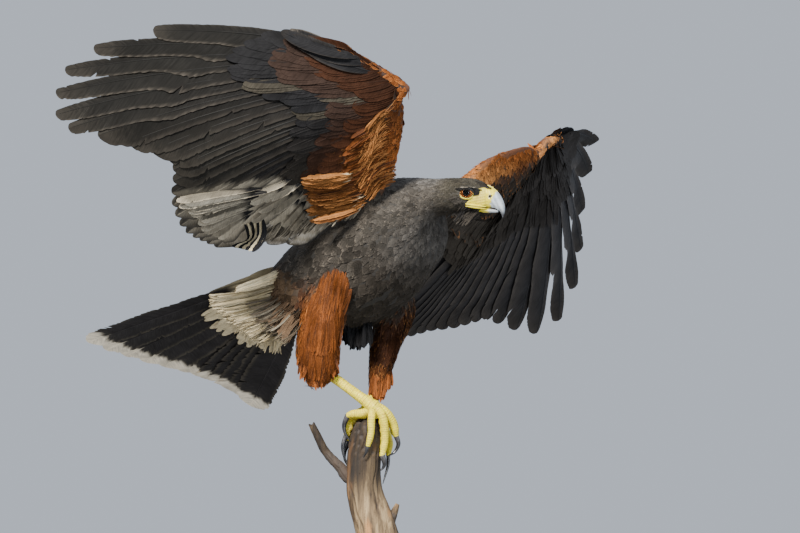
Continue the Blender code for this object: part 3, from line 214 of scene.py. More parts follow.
SNAG = (
    ((14, 2, 80), 23, 22), ((9, 1, 106), 22, 21), ((3, 0, 128), 21, 20),
    ((-3, 0, 147), 20, 19), ((-8, 0, 166), 18, 18), ((-8.5, 0, 186), 17, 17),
    ((-6.5, 0, 204), 16.8, 17), ((-4, 0, 220), 16.4, 16.5), ((-1.5, 0, 232), 14.8, 15),
    ((0, 0, 236.5), 10, 10),
)
TWIG = ((-14, 0, 176), (-24, -2, 178), (-32, -3, 188), (-41, -4, 197), (-48, -5, 206),
        (-54, -6, 218), (-60, -7, 230.5))
TWIG_RADII = (7, 6.4, 5.4, 4.6, 4.2, 3.9, 3.3)
STUB = ((16, 0, 132), (21, -1, 140), (25.5, -2, 151))
STUB_RADII = (6.5, 4.4, 2.2)
BASE_RADIUS = 120
BASE_HEIGHT = 18
ROD_RADIUS = 7
PERCH_FOOT = 80

# Colours, as light that the surface gives back.
SLATE = np.array([0.0085, 0.0085, 0.0095])
CHARCOAL = np.array([0.016, 0.014, 0.013])
UMBER = np.array([0.027, 0.023, 0.019])
TAUPE = np.array([0.070, 0.063, 0.055])
PALE_EDGE = np.array([0.22, 0.19, 0.155])
DARK_RUFOUS = np.array([0.046, 0.018, 0.009])
RUFOUS = np.array([0.190, 0.058, 0.014])
BRIGHT_RUFOUS = np.array([0.44, 0.185, 0.058])
CREAM = np.array([0.64, 0.55, 0.37])
PALE_BEIGE = np.array([0.30, 0.265, 0.205])
OLIVE_SHEEN = np.array([0.017, 0.016, 0.013])
YELLOW = np.array([0.74, 0.62, 0.028])
SCALE_GROOVE = np.array([0.42, 0.27, 0.06])
SOLE = np.array([0.34, 0.22, 0.08])
BAR_PALE = np.array([0.5, 0.46, 0.40])
TAIL_BLACK = np.array([0.022, 0.020, 0.021])
TAIL_TIP = np.array([0.84, 0.76, 0.62])
# Heights in the picture of the line below which the near wing's feathers are painted pale: partly
# wear, partly painted sunlight.
SUNLIT_LINE = (190, 170)

# The camera stands level with the body, nine metres off, and sees 1 mm to a pixel.
CAMERA_PLACE = np.array([28.0, -9000.0, 388.5])
LENS = 405
SENSOR = 36
PICTURE = (800, 533)


def unit(vector):
    vector = np.asarray(vector, dtype=float)
    return vector / np.maximum(np.linalg.norm(vector, axis=-1, keepdims=True), 1e-9)


def ease(low, high, value):
    """Rises smoothly from 0 at low to 1 at high."""
    t = np.clip((np.asarray(value, dtype=float) - low) / (high - low), 0, 1)
    return t * t * (3 - 2 * t)


def blend(first, second, share):
    share = np.asarray(share)[..., None]
    return np.asarray(first) * (1 - share) + np.asarray(second) * share


def smooth_rows(rows, steps):
    """Rows of numbers read off a smooth curve through the given rows."""
    rows = np.array(rows, dtype=float)
    padded = np.vstack([2 * rows[0] - rows[1], rows, 2 * rows[-1] - rows[-2]])
    smoothed = []
    for index in range(len(rows) - 1):
        before, start, end, after = padded[index:index + 4]
        for step in range(steps):
            t = step / steps
            smoothed.append(0.5 * (2 * start + (end - before) * t
                                   + (2 * before - 5 * start + 4 * end - after) * t ** 2
                                   + (3 * start - before - 3 * end + after) * t ** 3))
    smoothed.append(rows[-1])
    return np.array(smoothed)


def read_keys(keys, wanted):
    """Rows for the wanted places, between rows given for some places."""
    places = sorted(keys)
    rows = np.array([np.atleast_1d(keys[place]) for place in places], dtype=float)
    return np.stack([np.interp(wanted, places, column) for column in rows.T], axis=-1)


def softened(rows, rounds):
    """Rows smoothed one after another, with a number of rounds for each column."""
    rows = np.array(rows, dtype=float)
    for column, count in enumerate(rounds):
        for _ in range(count):
            inner = (rows[:-2, column] + 2 * rows[1:-1, column] + rows[2:, column]) / 4
            rows[1:-1, column] = inner
    return rows


def oval(centre, first, second, sides, power=2.0):
    """A ring of points round an oval with the two half axes given as vectors."""
    angles = 2 * math.pi * np.arange(sides) / sides
    cosine, sine = np.cos(angles), np.sin(angles)
    across = np.sign(cosine) * np.abs(cosine) ** (2 / power)
    along = np.sign(sine) * np.abs(sine) ** (2 / power)
    return centre + across[:, None] * first + along[:, None] * second


def view_point(across, down, depth):
    """The place at a depth behind the picture's plane that shows at a picture point."""
    scale = (depth - CAMERA_PLACE[1]) / -CAMERA_PLACE[1]
    return np.array([CAMERA_PLACE[0] + (across - PICTURE[0] / 2) * scale, depth,
                     CAMERA_PLACE[2] - (down - PICTURE[1] / 2) * scale])


def picture_places(points):
    """Where points show in the picture, across and down."""
    scale = -CAMERA_PLACE[1] / (points[..., 1] - CAMERA_PLACE[1])
    across = PICTURE[0] / 2 + (points[..., 0] - CAMERA_PLACE[0]) * scale
    return across, PICTURE[1] / 2 - (points[..., 2] - CAMERA_PLACE[2]) * scale


class Paint:
    """A material built from nodes, with short ways to add the common ones."""

    def __init__(self, name, roughness, fixed=()):
        self.made = bpy.data.materials.new(name)
        self.made.use_nodes = True
        self.nodes = self.made.node_tree.nodes
        self.links = self.made.node_tree.links
        self.shader = self.nodes["Principled BSDF"]
        self.shader.inputs["Roughness"].default_value = roughness
        for key, value in dict(fixed).items():
            self.shader.inputs[key].default_value = value

    def add(self, kind, inputs=(), **settings):
        node = self.nodes.new(kind)
        for key, value in settings.items():
            setattr(node, key, value)
        for key, value in dict(inputs).items():
            self.feed(node, key, value)
        return node

    def feed(self, node, key, value):
        if isinstance(value, bpy.types.NodeSocket):
            self.links.new(value, node.inputs[key])
        else:
            node.inputs[key].default_value = value

    def math(self, operation, first, second=0.0, third=0.0):
        inputs = {0: first, 1: second, 2: third}
        return self.add("ShaderNodeMath", inputs, operation=operation).outputs[0]

    def rise(self, value, low, high, start=0.0, end=1.0):
        """Smoothly from start to end as the value goes from low to high."""
        node = self.add("ShaderNodeMapRange", {
            "Value": value, "From Min": low, "From Max": high, "To Min": start, "To Max": end,
        }, interpolation_type="SMOOTHSTEP")
        return node.outputs["Result"]

    def attribute(self, name):
        return self.add("ShaderNodeAttribute", attribute_name=name)

    def uv(self, name, scales=None):
        made = self.add("ShaderNodeUVMap", uv_map=name).outputs["UV"]
        return self.stretched(made, scales) if scales else made

    def place(self, scales=(1, 1, 1)):
        """Object coordinates, which stay with the surface."""
        made = self.add("ShaderNodeTexCoord").outputs["Object"]
        return self.stretched(made, scales)

    def stretched(self, socket, scales):
        return self.add("ShaderNodeMapping", {"Vector": socket, "Scale": scales}).outputs["Vector"]

    def noise(self, coordinates, scale, detail=3.0, roughness=0.5, distortion=0.0):
        node = self.add("ShaderNodeTexNoise", {
            "Vector": coordinates, "Scale": scale, "Detail": detail,
            "Roughness": roughness, "Distortion": distortion,
        })
        return node.outputs["Fac"]

    def cells(self, coordinates, scale, feature="F1"):
        node = self.add("ShaderNodeTexVoronoi", {"Vector": coordinates, "Scale": scale},
                        feature=feature)
        return node.outputs["Distance"]

    def ramp(self, factor, stops):
        node = self.add("ShaderNodeValToRGB", {"Fac": factor})
        elements = node.color_ramp.elements
        while len(elements) < len(stops):
            elements.new(0.5)
        for element, (place, colour) in zip(elements, stops):
            element.position = place
            element.color = (*colour, 1.0)
        return node.outputs["Color"]

    def mix(self, factor, first, second, blend_type="MIX"):
        node = self.add("ShaderNodeMix", data_type="RGBA", blend_type=blend_type)
        self.feed(node, 0, factor)
        for key, value in ((6, first), (7, second)):
            if not isinstance(value, bpy.types.NodeSocket):
                value = (*value, 1.0)
            self.feed(node, key, value)
        return node.outputs[2]

    def colour(self, socket):
        self.links.new(socket, self.shader.inputs["Base Color"])

    def shade(self, colour, share):
        """Gives the surface a colour, made darker or lighter by a share."""
        node = self.add("ShaderNodeVectorMath", {0: colour, "Scale": share}, operation="SCALE")
        self.colour(node.outputs["Vector"])

    def shade_tint(self, share):
        self.shade(self.attribute("Tint").outputs["Color"], share)

    def rough(self, socket):
        self.links.new(socket, self.shader.inputs["Roughness"])

    def bump(self, height, strength, distance):
        node = self.add("ShaderNodeBump", {
            "Height": height, "Strength": strength, "Distance": distance * MM,
        })
        self.links.new(node.outputs["Normal"], self.shader.inputs["Normal"])


def feather_paint(name, roughness, streak, depth, finesse, fixed=()):
    """Barbs beside a shaft, a paler rim and fine streaks, over the colour of the feather."""
    paint = Paint(name, roughness, fixed)
    tint = paint.attribute("Tint")
    rim = paint.attribute("Rim")
    parts = paint.add("ShaderNodeSeparateXYZ", {"Vector": paint.uv("Web")}).outputs
    aside = paint.math("ABSOLUTE", paint.math("MULTIPLY_ADD", parts[0], 2.0, -1.0))
    fuzz = paint.noise(paint.uv("Barb", (1.2, 0.2, 1.0)), 9.0, 2.0)
    wander = paint.math("MULTIPLY_ADD", fuzz, 0.22, -0.11)
    edge = paint.rise(paint.math("ADD", aside, wander), 0.74, 0.98)
    tip = paint.rise(paint.math("ADD", parts[1], wander), 0.86, 0.99)
    rim_share = paint.math("MULTIPLY", paint.math("MAXIMUM", edge, tip), rim.outputs["Alpha"])
    base = paint.mix(rim_share, tint.outputs["Color"], rim.outputs["Color"])
    barbs = paint.noise(paint.uv("Barb", (1.0, 0.05, 1.0)), finesse, 3.0, 0.6)
    clouds = paint.noise(paint.place(), 60.0, 3.0)
    shade = paint.math("MULTIPLY", paint.rise(barbs, 0.25, 0.75, 1 - streak, 1 + streak),
                       paint.rise(clouds, 0.3, 0.7, 0.82, 1.18))
    shaft = paint.rise(aside, 0.0, 0.07, 0.62, 1.0)
    paint.shade(base, paint.math("MULTIPLY", shade, shaft))
    paint.rough(paint.rise(barbs, 0.2, 0.8, roughness + 0.10, roughness - 0.10))
    paint.bump(barbs, 0.55, depth)
    return paint.made


def mesh_piece(name, points, faces, look, layers=(), colours=(), smooth=True):
    """An object from points in millimetres and four-sided or mixed faces."""
    points = np.asarray(points, dtype=float)
    mesh = bpy.data.meshes.new(name)
    if isinstance(faces, np.ndarray):
        sides = faces.shape[1]
        mesh.vertices.add(len(points))
        mesh.vertices.foreach_set("co", (points * MM).ravel())
        mesh.loops.add(faces.size)
        mesh.loops.foreach_set("vertex_index", faces.ravel().astype(np.int32))
        mesh.polygons.add(len(faces))
        mesh.polygons.foreach_set("loop_start", np.arange(0, faces.size, sides, dtype=np.int32))
        mesh.update(calc_edges=True)
    else:
        mesh.from_pydata([tuple(point) for point in points * MM], [], faces)
    corners = np.empty(len(mesh.loops), dtype=np.int32)
    mesh.loops.foreach_get("vertex_index", corners)
    for key, values in dict(layers).items():
        layer = mesh.uv_layers.new(name=key)
        layer.data.foreach_set("uv", np.asarray(values, dtype=float)[corners].ravel())
    for key, values in dict(colours).items():
        values = np.asarray(values, dtype=float)
        if values.shape[1] == 3:
            values = np.column_stack([values, np.ones(len(values))])
        layer = mesh.color_attributes.new(key, "FLOAT_COLOR", "POINT")
        layer.data.foreach_set("color", values.ravel())
    if smooth:
        mesh.shade_smooth()
    made = bpy.data.objects.new(name, mesh)
    bpy.context.scene.collection.objects.link(made)
    if look is not None:
        mesh.materials.append(look)
    return made


def grid_faces(rows, columns, count=1, closed=False):
    """Four-sided faces over grids of points that follow one another."""
    across = np.arange(columns if closed else columns - 1)
    beside = (across + 1) % columns
    row = np.arange(rows - 1)[:, None] * columns
    quads = np.stack([row + across, row + beside, row + columns + beside, row + columns + across],
                     axis=-1).reshape(-1, 4)
    starts = np.arange(count) * rows * columns
    return (quads[None] + starts[:, None, None]).reshape(-1, 4)


def ride(piece, slot, *nodes):
    """Fixes a piece to the model and hides the solids that it stands for. The slot is not used."""
    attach(piece, "root")
    if nodes:
        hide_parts(*nodes)
    return piece


def loft_piece(name, rings, look=None, colours=()):
    """A closed skin over rings of points, fanned at both ends."""
    rings = np.asarray(rings, dtype=float)
    rows, sides = rings.shape[:2]
    points = np.vstack([rings.reshape(-1, 3), rings[0].mean(axis=0), rings[-1].mean(axis=0)])
    faces = [tuple(int(corner) for corner in quad) for quad in grid_faces(rows, sides, 1, True)]
    first, last = rows * sides, rows * sides + 1
    for side in range(sides):
        beside = (side + 1) % sides
        faces.append((first, beside, side))
        faces.append((last, (rows - 1) * sides + side, (rows - 1) * sides + beside))
    filled = {}
    for key, values in dict(colours).items():
        values = np.asarray(values).reshape(rows * sides, -1)
        ends = [values[:sides].mean(axis=0), values[-sides:].mean(axis=0)]
        filled[key] = np.vstack([values, *ends])
    made = mesh_piece(name, points, faces, look, colours=filled)
    fix_normals(made)
    return made


def fix_normals(piece):
    body = bmesh.new()
    body.from_mesh(piece.data)
    bmesh.ops.recalc_face_normals(body, faces=body.faces)
    body.to_mesh(piece.data)
    body.free()


def settle(piece):
    """Puts what the modifiers make in place of the piece's own mesh."""
    made = bpy.data.meshes.new_from_object(
        piece.evaluated_get(bpy.context.evaluated_depsgraph_get()))
    piece.modifiers.clear()
    piece.data = made


def join_pieces(name, pieces):
    """One object from several, with their layers kept."""
    bpy.ops.object.select_all(action="DESELECT")
    for piece in pieces:
        piece.select_set(True)
    bpy.context.view_layer.objects.active = pieces[0]
    bpy.ops.object.join()
    pieces[0].name = name
    pieces[0].data.name = name
    return pieces[0]


def bar_rings(points, radii, sides, flat=1.0):
    """Rings round a path, with the frame turned as little as can be."""
    points = np.array(points, dtype=float)
    ahead = unit(np.gradient(points, axis=0))
    rings = []
    across = unit(np.cross(ahead[0], (0.13, 0.31, 0.94)))
    for point, direction, radius in zip(points, ahead, radii):
        across = unit(across - direction * np.dot(across, direction))
        upward = np.cross(direction, across)
        rings.append(oval(point, across * radius, upward * radius * flat, sides))
    return np.array(rings)


# The frame of the wings and the tail, as in the solids.
class Wing:
    """The frame of one wing: bones, the line of quills and a fan of flight feathers."""

    def __init__(self, joints, aims, side, overlap, patagium, twist):
        self.side = side
        self.overlap = overlap
        self.patagium = patagium
        self.twist = twist
        self.joints = {name: np.array(place, dtype=float) for name, place in joints.items()}
        self.lengths = np.array(PRIMARY_LENGTHS + SECONDARY_LENGTHS + TERTIAL_LENGTHS, float)
        self.aims = softened(unit(read_keys(aims, np.arange(len(self.lengths)))), AIM_ROUNDS)
        self.roots = softened(self.root_places(), ROOT_ROUNDS)
        self.sheets = {}

    def root_places(self):
        joints = self.joints
        places = []
        for index in range(PRIMARIES):
            share = (index + 0.3) / PRIMARIES
            places.append(joints["tip"] + (joints["wrist"] - joints["tip"]) * share)
        for index in range(len(SECONDARY_LENGTHS)):
            share = (index + 0.7) / (len(SECONDARY_LENGTHS) + 0.2)
            places.append(joints["wrist"] + (joints["elbow"] - joints["wrist"]) * share)
        for index in range(len(TERTIAL_LENGTHS)):
            share = (index + 0.7) / (len(TERTIAL_LENGTHS) + 1.2)
            places.append(joints["elbow"] + (joints["shoulder"] - joints["elbow"]) * share)
        return places

    def shaft(self, index, distance):
        length = self.lengths[index]
        share = distance / length
        neighbour = self.aims[min(index + 1, len(self.aims) - 1)] - self.aims[max(index - 1, 0)]
        aim = unit(self.aims[index])
        trailing = neighbour - aim * np.dot(neighbour, aim)
        bow = -unit(trailing) * length * 0.035 * 4 * share * (1 - share)
        return self.roots[index] + self.aims[index] * distance + bow

    def frame(self, index, distance):
        """Directions along the shaft, toward the body and out of the under side."""
        step = 2.0
        along = unit(self.shaft(index, distance + step) - self.shaft(index, distance - step))
        outer = max(index - 1, 0)
        inner = min(index + 1, len(self.lengths) - 1)
        clear = max(distance, CLEAR_OF_ROOTS)
        across = self.shaft(inner, clear) - self.shaft(outer, clear)
        across = unit(across - along * np.dot(across, along))
        return along, across, np.cross(along, across) * self.side

    def abreast(self, index, other, distance):
        here = self.shaft(index, distance)
        along = self.frame(index, distance)[0]
        place = distance
        for _ in range(3):
            place -= np.dot(self.shaft(other, place) - here, along)
        return self.shaft(other, place)

    def beside(self, index, distance, step):
        here = self.shaft(index, distance)
        _, across, under = self.frame(index, distance)
        steps = [(0.0, 0.0)]
        for count in (1, 2, 3):
            other = index + step * count
            if not 0 <= other < len(self.lengths):
                break
            away = self.abreast(index, other, distance) - here
            reach = max(np.dot(away, across) * step, steps[-1][0] + 0.8)
            steps.append((reach, np.dot(away, under)))
        return steps

    def stack(self, index, distance):
        outer = max(index - 1, 0)
        inner = min(index + 1, len(self.lengths) - 1)
        across = self.frame(index, distance)[1]
        spread = self.shaft(inner, distance) - self.shaft(outer, distance)
        spacing = np.dot(spread, across) / (inner - outer)
        return max(WING_STACK, STACK_SLOPE * spacing)

    def turned(self, index, distance):
        """Directions toward the body and out of the under side, once a finger has turned."""
        _, across, under = self.frame(index, distance)
        if index >= len(FINGER_STARTS):
            return across, under
        beyond = distance / self.lengths[index] - FINGER_STARTS[index]
        angle = self.twist * min(max(beyond / TWIST_SPAN, 0), 1)
        return (across * math.cos(angle) - under * math.sin(angle),
                under * math.cos(angle) + across * math.sin(angle))

    def edge(self, index, distance, width, limit, step):
        """A point beside a shaft, on a louvre whose feathers lie a stack apart."""
        steps = self.beside(index, distance, step)
        if len(steps) == 1:
            steps = [(reach, -drop) for reach, drop in self.beside(index, distance, -step)]
        width = min(width, max(limit * steps[1][0], QUILL))
        reaches = [reach for reach, _ in steps]
        drops = [drop for _, drop in steps]
        level = np.interp(width, reaches, range(len(steps)))
        if width > reaches[-1]:
            last = reaches[-1] - reaches[-2]
            extra = (width - reaches[-1]) / last
            level = len(steps) - 1 + extra
            drop = drops[-1] + (drops[-1] - drops[-2]) * min(extra, 1.0)
        else:
            drop = np.interp(width, reaches, drops)
        across, under = self.turned(index, distance)
        place = self.shaft(index, distance) + across * width * step
        return place + under * (drop + level * self.stack(index, distance) * step), width

    def sheet(self, index, form, spread):
        """Stations along a feather: shaft, under side, stack and both webs per millimetre."""
        key = (index, form, spread)
        if key in self.sheets:
            return self.sheets[key]
        length = self.lengths[index]
        stations = np.linspace(0, length, 15)
        rows = []
        for distance in stations:
            share = distance / length
            under = self.turned(index, distance)[1]
            row = [self.shaft(index, distance), under, [self.stack(index, distance)] * 3]
            for column, step, limit in ((1, -1, self.overlap[0]), (2, 1, self.overlap[1])):
                width = max(np.interp(share, *np.array(form).T[[0, column]]), 3.0)
                place, kept = self.edge(index, distance, width, limit * spread, step)
                row.append((place - row[0]) / kept)
                row.append([kept / width] * 3)
            rows.append(row)
        self.sheets[key] = (stations, np.array(rows, dtype=float))
        return self.sheets[key]


class Tail:
    """The frame of the tail's fan, from its right edge to its left one."""

    def __init__(self):
        right, middle, left = (np.array(edge) for edge in TAIL_EDGES)
        pull = 2 * middle - (right + left) / 2
        self.aims = []
        self.roots = []
        for index in range(TAIL_FEATHERS):
            t = index / (TAIL_FEATHERS - 1)
            self.aims.append(unit((1 - t) ** 2 * right + 2 * t * (1 - t) * pull + t ** 2 * left))
            aside = (TAIL_FEATHERS - 1) / 2 - index
            self.roots.append(TAIL_BASE + TAIL_ROOT_ROW * aside)

    def shaft(self, index, distance):
        return self.roots[index] + self.aims[index] * distance

    def frame(self, index, distance):
        along = self.aims[index]
        outer = max(index - 1, 0)
        inner = min(index + 1, TAIL_FEATHERS - 1)
        across = self.shaft(inner, distance) - self.shaft(outer, distance)
        across = across - along * np.dot(across, along)
        spacing = np.linalg.norm(across) / (inner - outer)
        across = unit(across)
        return along, across, np.cross(along, across), spacing

    def between(self, place, distance):
        """A point, and the directions there, at a place among the shafts."""
        lower = int(min(max(place, 0), TAIL_FEATHERS - 2))
        share = place - lower
        aim = unit(self.aims[lower] * (1 - share) + self.aims[lower + 1] * share)
        root = self.roots[lower] * (1 - share) + self.roots[lower + 1] * share
        across, under = self.frame(lower, 40)[1:3]
        return root + aim * distance, aim, across, under

    def sheet(self, index):
        """Stations along one tail feather, and how it lies over and under its neighbours."""
        stations = np.linspace(0, TAIL_LENGTH, 15)
        middle = TAIL_FEATHERS // 2
        rows = []
        for distance in stations:
            _, across, under, spacing = self.frame(index, max(distance, 20.0))
            slope = min(TAIL_STACK / spacing, 0.45)
            toward_right = unit(-across - under * slope)
            toward_left = unit(across + under * slope)
            if index >= middle:
                toward_left = unit(across - under * slope)
                toward_right = unit(-across + under * slope)
            if index == middle:
                toward_right = unit(-across - under * slope)
            limit = spacing * 0.72 / 20 if index == middle - 1 else 1.0
            rows.append([self.shaft(index, distance), under, [0.0] * 3, toward_right, [1.0] * 3,
                         toward_left, [min(limit, 1.0)] * 3])
        return stations, np.array(rows, dtype=float)


class Vanes:
    """Large feathers gathered into one piece: webs as sheets, shafts as thin rods."""

    def __init__(self):
        self.sheets = []
        self.rods = []

    def feather(self, stations, rows, form, first, last, lift, tints, sweep=1.0, wear=0.1,
                rib=1.2, camber=0.02, curl=0.0, fine=2.8, columns=6, seed_shift=0.0, rise=None):
        """Both webs and the shaft of one feather, from frames given along it."""
        length = last - first
        count = max(int(length / fine), 8)
        form = smooth_rows(form, 5)
        shares = np.maximum.accumulate(form[:, 0])
        spaced = 1 - (1 - np.linspace(0, 1, count)) ** 1.25
        for column, step in ((1, -1), (2, 1)):
            width = np.interp(spaced, shares, np.maximum(form[:, column], 0.5))
            edge = first + length * spaced
            kept = self.read(stations, rows[:, 2 + 2 * column, 0], edge)
            width = width * kept
            blunt = 1 - 0.55 * max(width[int(count * 0.9)], 4) / length
            width = width * np.sqrt(np.clip(1 - (np.maximum(spaced - blunt, 0) / (1 - blunt)) ** 2,
                                            0.004, 1))
            ragged = 1 - wear * DRAW.random(count) ** 3
            splits = DRAW.random(count) < wear * (0.08 + 0.35 * spaced ** 3)
            ragged = np.where(splits, ragged * DRAW.uniform(0.6, 0.9, count), ragged)
            start = np.maximum(edge - sweep * width, first)
            fractions = np.linspace(0, 1, columns)
            reach = 1 - (1 - ragged[:, None]) * fractions ** 3
            along = start[:, None] + (edge - start)[:, None] * fractions ** 1.1 * reach
            aside = width[:, None] * fractions * reach
            grid = self.read(stations, rows[:, 0], along)
            web = self.read(stations, rows[:, 1 + 2 * column], along)
            under = self.read(stations, rows[:, 1], along)
            share = (along - first) / length
            height = self.read(stations, rows[:, 2, 0], along) * lift[0] + lift[1]
            if rise is not None:
                height = height * (rise + (1 - rise) * np.clip(share * 1.6, 0, 1))
            arch = np.sin(math.pi * fractions) * width[:, None] * camber
            bend = curl * share ** 2 + 0.35 * np.sin(along * 0.11 + seed_shift) * fractions
            points = grid + web * aside[..., None]
            points = points + under * (height - np.sign(lift[1] or 1) * arch + bend)[..., None]
            web_uv = np.stack([0.5 + step * 0.5 * np.broadcast_to(fractions, along.shape), share],
                              axis=-1)
            barb_uv = np.stack([(start[:, None] + 0 * along) * 0.1 + seed_shift, aside * 0.1],
                               axis=-1)
            tint, rim = tints(share, np.broadcast_to(fractions, share.shape) * step, points)
            self.sheets.append((points, web_uv, barb_uv, tint, rim))
        self.rod(stations, rows, first, last, lift, tints, rib, curl, rise)

    @staticmethod
    def read(stations, values, wanted):
        if values.ndim == 1:
            return np.interp(wanted, stations, values)
        return np.stack([np.interp(wanted, stations, column) for column in values.T], axis=-1)

    def rod(self, stations, rows, first, last, lift, tints, rib, curl, rise):
        """The shaft of one feather, thinner toward its tip."""
        count, corners = (28, 6) if rib > 0.7 else (6, 4)
        share = np.linspace(0, 0.985, count)
        along = first + (last - first) * share
        under = unit(self.read(stations, rows[:, 1], along))
        height = self.read(stations, rows[:, 2, 0], along) * lift[0] + lift[1] + curl * share ** 2
        if rise is not None:
            height = height * (rise + (1 - rise) * np.clip(share * 1.6, 0, 1))
        spine = self.read(stations, rows[:, 0], along) + under * height[:, None]
        radius = rib * (1 - share) ** 0.7 + 0.16
        ahead = unit(np.gradient(spine, axis=0))
        side = unit(np.cross(ahead, under))
        angles = 2 * math.pi * np.arange(corners) / corners
        rings = (spine[:, None] + side[:, None] * (np.cos(angles) * radius[:, None])[..., None]
                 + under[:, None] * (np.sin(angles) * radius[:, None] * 0.8)[..., None])
        tint, _ = tints(share[:, None] + 0 * angles, 0 * share[:, None] + 0 * angles, rings)
        shade = tint * 1.25 + 0.006
        self.rods.append((rings, share, shade))

    def piece(self, name, look):
        """Joins all vanes and shafts into one object, each in its own cell of the bake layer."""
        points, faces, web, barb, tint, rim, bake = [], [], [], [], [], [], []
        cells = len(self.sheets) + len(self.rods)
        across = math.ceil(math.sqrt(cells * 2.5))
        down = math.ceil(cells / across)
        total = 0
        for index, (grid, web_uv, barb_uv, colour, edge) in enumerate(self.sheets):
            rows, columns = grid.shape[:2]
            points.append(grid.reshape(-1, 3))
            faces.append(grid_faces(rows, columns) + total)
            total += rows * columns
            web.append(web_uv.reshape(-1, 2))
            barb.append(barb_uv.reshape(-1, 2))
            tint.append(colour.reshape(-1, 3))
            rim.append(edge.reshape(-1, 4))
            bake.append(self.cell(index, rows, columns, across, down))
        for index, (rings, share, shade) in enumerate(self.rods):
            rows, sides = rings.shape[:2]
            points.append(rings.reshape(-1, 3))
            faces.append(grid_faces(rows, sides, 1, True) + total)
            total += rows * sides
            count = rows * sides
            web.append(np.column_stack([np.full(count, 0.62), np.repeat(share * 0.7, sides)]))
            barb.append(np.column_stack([np.repeat(share * 20, sides), np.zeros(count)]))
            tint.append(shade.reshape(-1, 3))
            rim.append(np.zeros((count, 4)))
            bake.append(self.cell(len(self.sheets) + index, rows, sides, across, down))
        return mesh_piece(name, np.vstack(points), np.vstack(faces), look,
                          layers={"OFBake": np.vstack(bake), "Web": np.vstack(web),
                                  "Barb": np.vstack(barb)},
                          colours={"Tint": np.vstack(tint), "Rim": np.vstack(rim)})

    @staticmethod
    def cell(index, rows, columns, across, down):
        """One feather's own patch of the map that its colours are kept in."""
        v, u = np.meshgrid(np.linspace(0.04, 0.96, rows), np.linspace(0.06, 0.94, columns),
                           indexing="ij")
        u = (index % across + u) / across
        v = (index // across + v) / down
        return np.stack([u, v], axis=-1).reshape(-1, 2)


def finger_form(start):
    return ((0, 1.5, 3), (0.06, 4, 10), (0.17, 6.5, 18), (start - 0.12, 7.5, 26),
            (start - 0.05, 7.4, 22), (start + 0.03, 7, 15), (0.9, 6.4, 12.5), (1, 4.5, 7))


def flight_form(index):
    if index < len(FINGER_STARTS):
        return finger_form(FINGER_STARTS[index])
    if index < PRIMARIES:
        return INNER_PRIMARY
    return SECONDARY if index < FLIGHT else TERTIAL


def rgba(colour, strength):
    """A rim's colour with how strong it is."""
    colour = np.asarray(colour, dtype=float)
    strength = np.broadcast_to(np.asarray(strength, dtype=float), colour.shape[:-1])
    return np.concatenate([colour, strength[..., None]], axis=-1)


def flight_tints(wing, index):
    """Colours along and across one flight feather."""
    near = wing.side == 1
    jitter = DRAW.uniform(0.85, 1.2)
    bar_phase = DRAW.random() * 6

    def tints(share, aside, points):
        base = blend(SLATE, CHARCOAL, ease(0.0, 1.0, np.abs(aside))) * jitter
        base = base * (1 - 0.35 * ease(0.75, 1.0, share))[..., None]
        # The near wing's feathers are painted much darker than the far wing's, its outer primaries
        # darkest: painted shade on the under side. The olive blended into their middles is a painted
        # sheen.
        if not near:
            return base * 2.3, rgba(np.broadcast_to(PALE_EDGE, base.shape), 0.08)
        olive_sheen = ease(0.25, 0.7, share) * (1 - ease(12, 15, index))
        base = blend(base, OLIVE_SHEEN * jitter, olive_sheen * 0.5) * (0.25 + 0.65 * ease(3, 12, index))
        fringe = (1 - ease(4.0, 6.5, index)) * ease(0.80, 0.97, aside) * ease(0.3, 0.6, share)
        notches = ease(-0.2, 0.5, np.sin(share * 190))
        base = blend(base, PALE_EDGE * 0.3, fringe * notches * 0.4)
        # Below SUNLIT_LINE in the picture the inner feathers turn pale beige, partly for wear and
        # partly as painted sunlight; the streaks across each web and the darker rims there are painted
        # shade between the feathers.
        across, down = picture_places(points)
        line = np.interp(across, (174, 345), SUNLIT_LINE) + 1.5 * np.sin(across * 0.19 + index)
        sunlit_and_worn = ease(-1.0, 2.5, down - line) * ease(11.5, 13, index)
        streaks = 0.6 + 0.4 * np.cos((aside - 0.35) * 3.6)
        base = blend(base, PALE_BEIGE * jitter * DRAW.uniform(0.7, 1.2), sunlit_and_worn * streaks * 0.95)
        bars = 0.5 + 0.5 * np.sin(share * 46 + np.abs(aside) * 3 + bar_phase)
        barred = ease(19.5, 21.5, index) * ease(0.35, 0.6, share) * ease(0.45, 0.75, bars)
        base = blend(base, BAR_PALE, barred * 0.8)
        rim = blend(PALE_EDGE * 0.35, SLATE * 2, sunlit_and_worn)
        return base, rgba(rim, 0.14 + 0.4 * sunlit_and_worn)
    return tints


def plain_tints(colour, edge, strength, spread=0.12, base_colour=None, base_reach=0.3):
    """Colours of a covert: its own, with a paler rim and, if given, another colour at its base."""
    colour = np.asarray(colour, dtype=float) * DRAW.uniform(1 - spread, 1 + spread)

    def tints(share, aside, points):
        base = np.broadcast_to(colour, share.shape + (3,))
        base = base * (0.85 + 0.3 * share[..., None])
        if base_colour is not None:
            base = blend(base, np.asarray(base_colour), 1 - ease(base_reach * 0.5, base_reach, share))
        return base, rgba(np.broadcast_to(np.asarray(edge, dtype=float), base.shape), strength)
    return tints


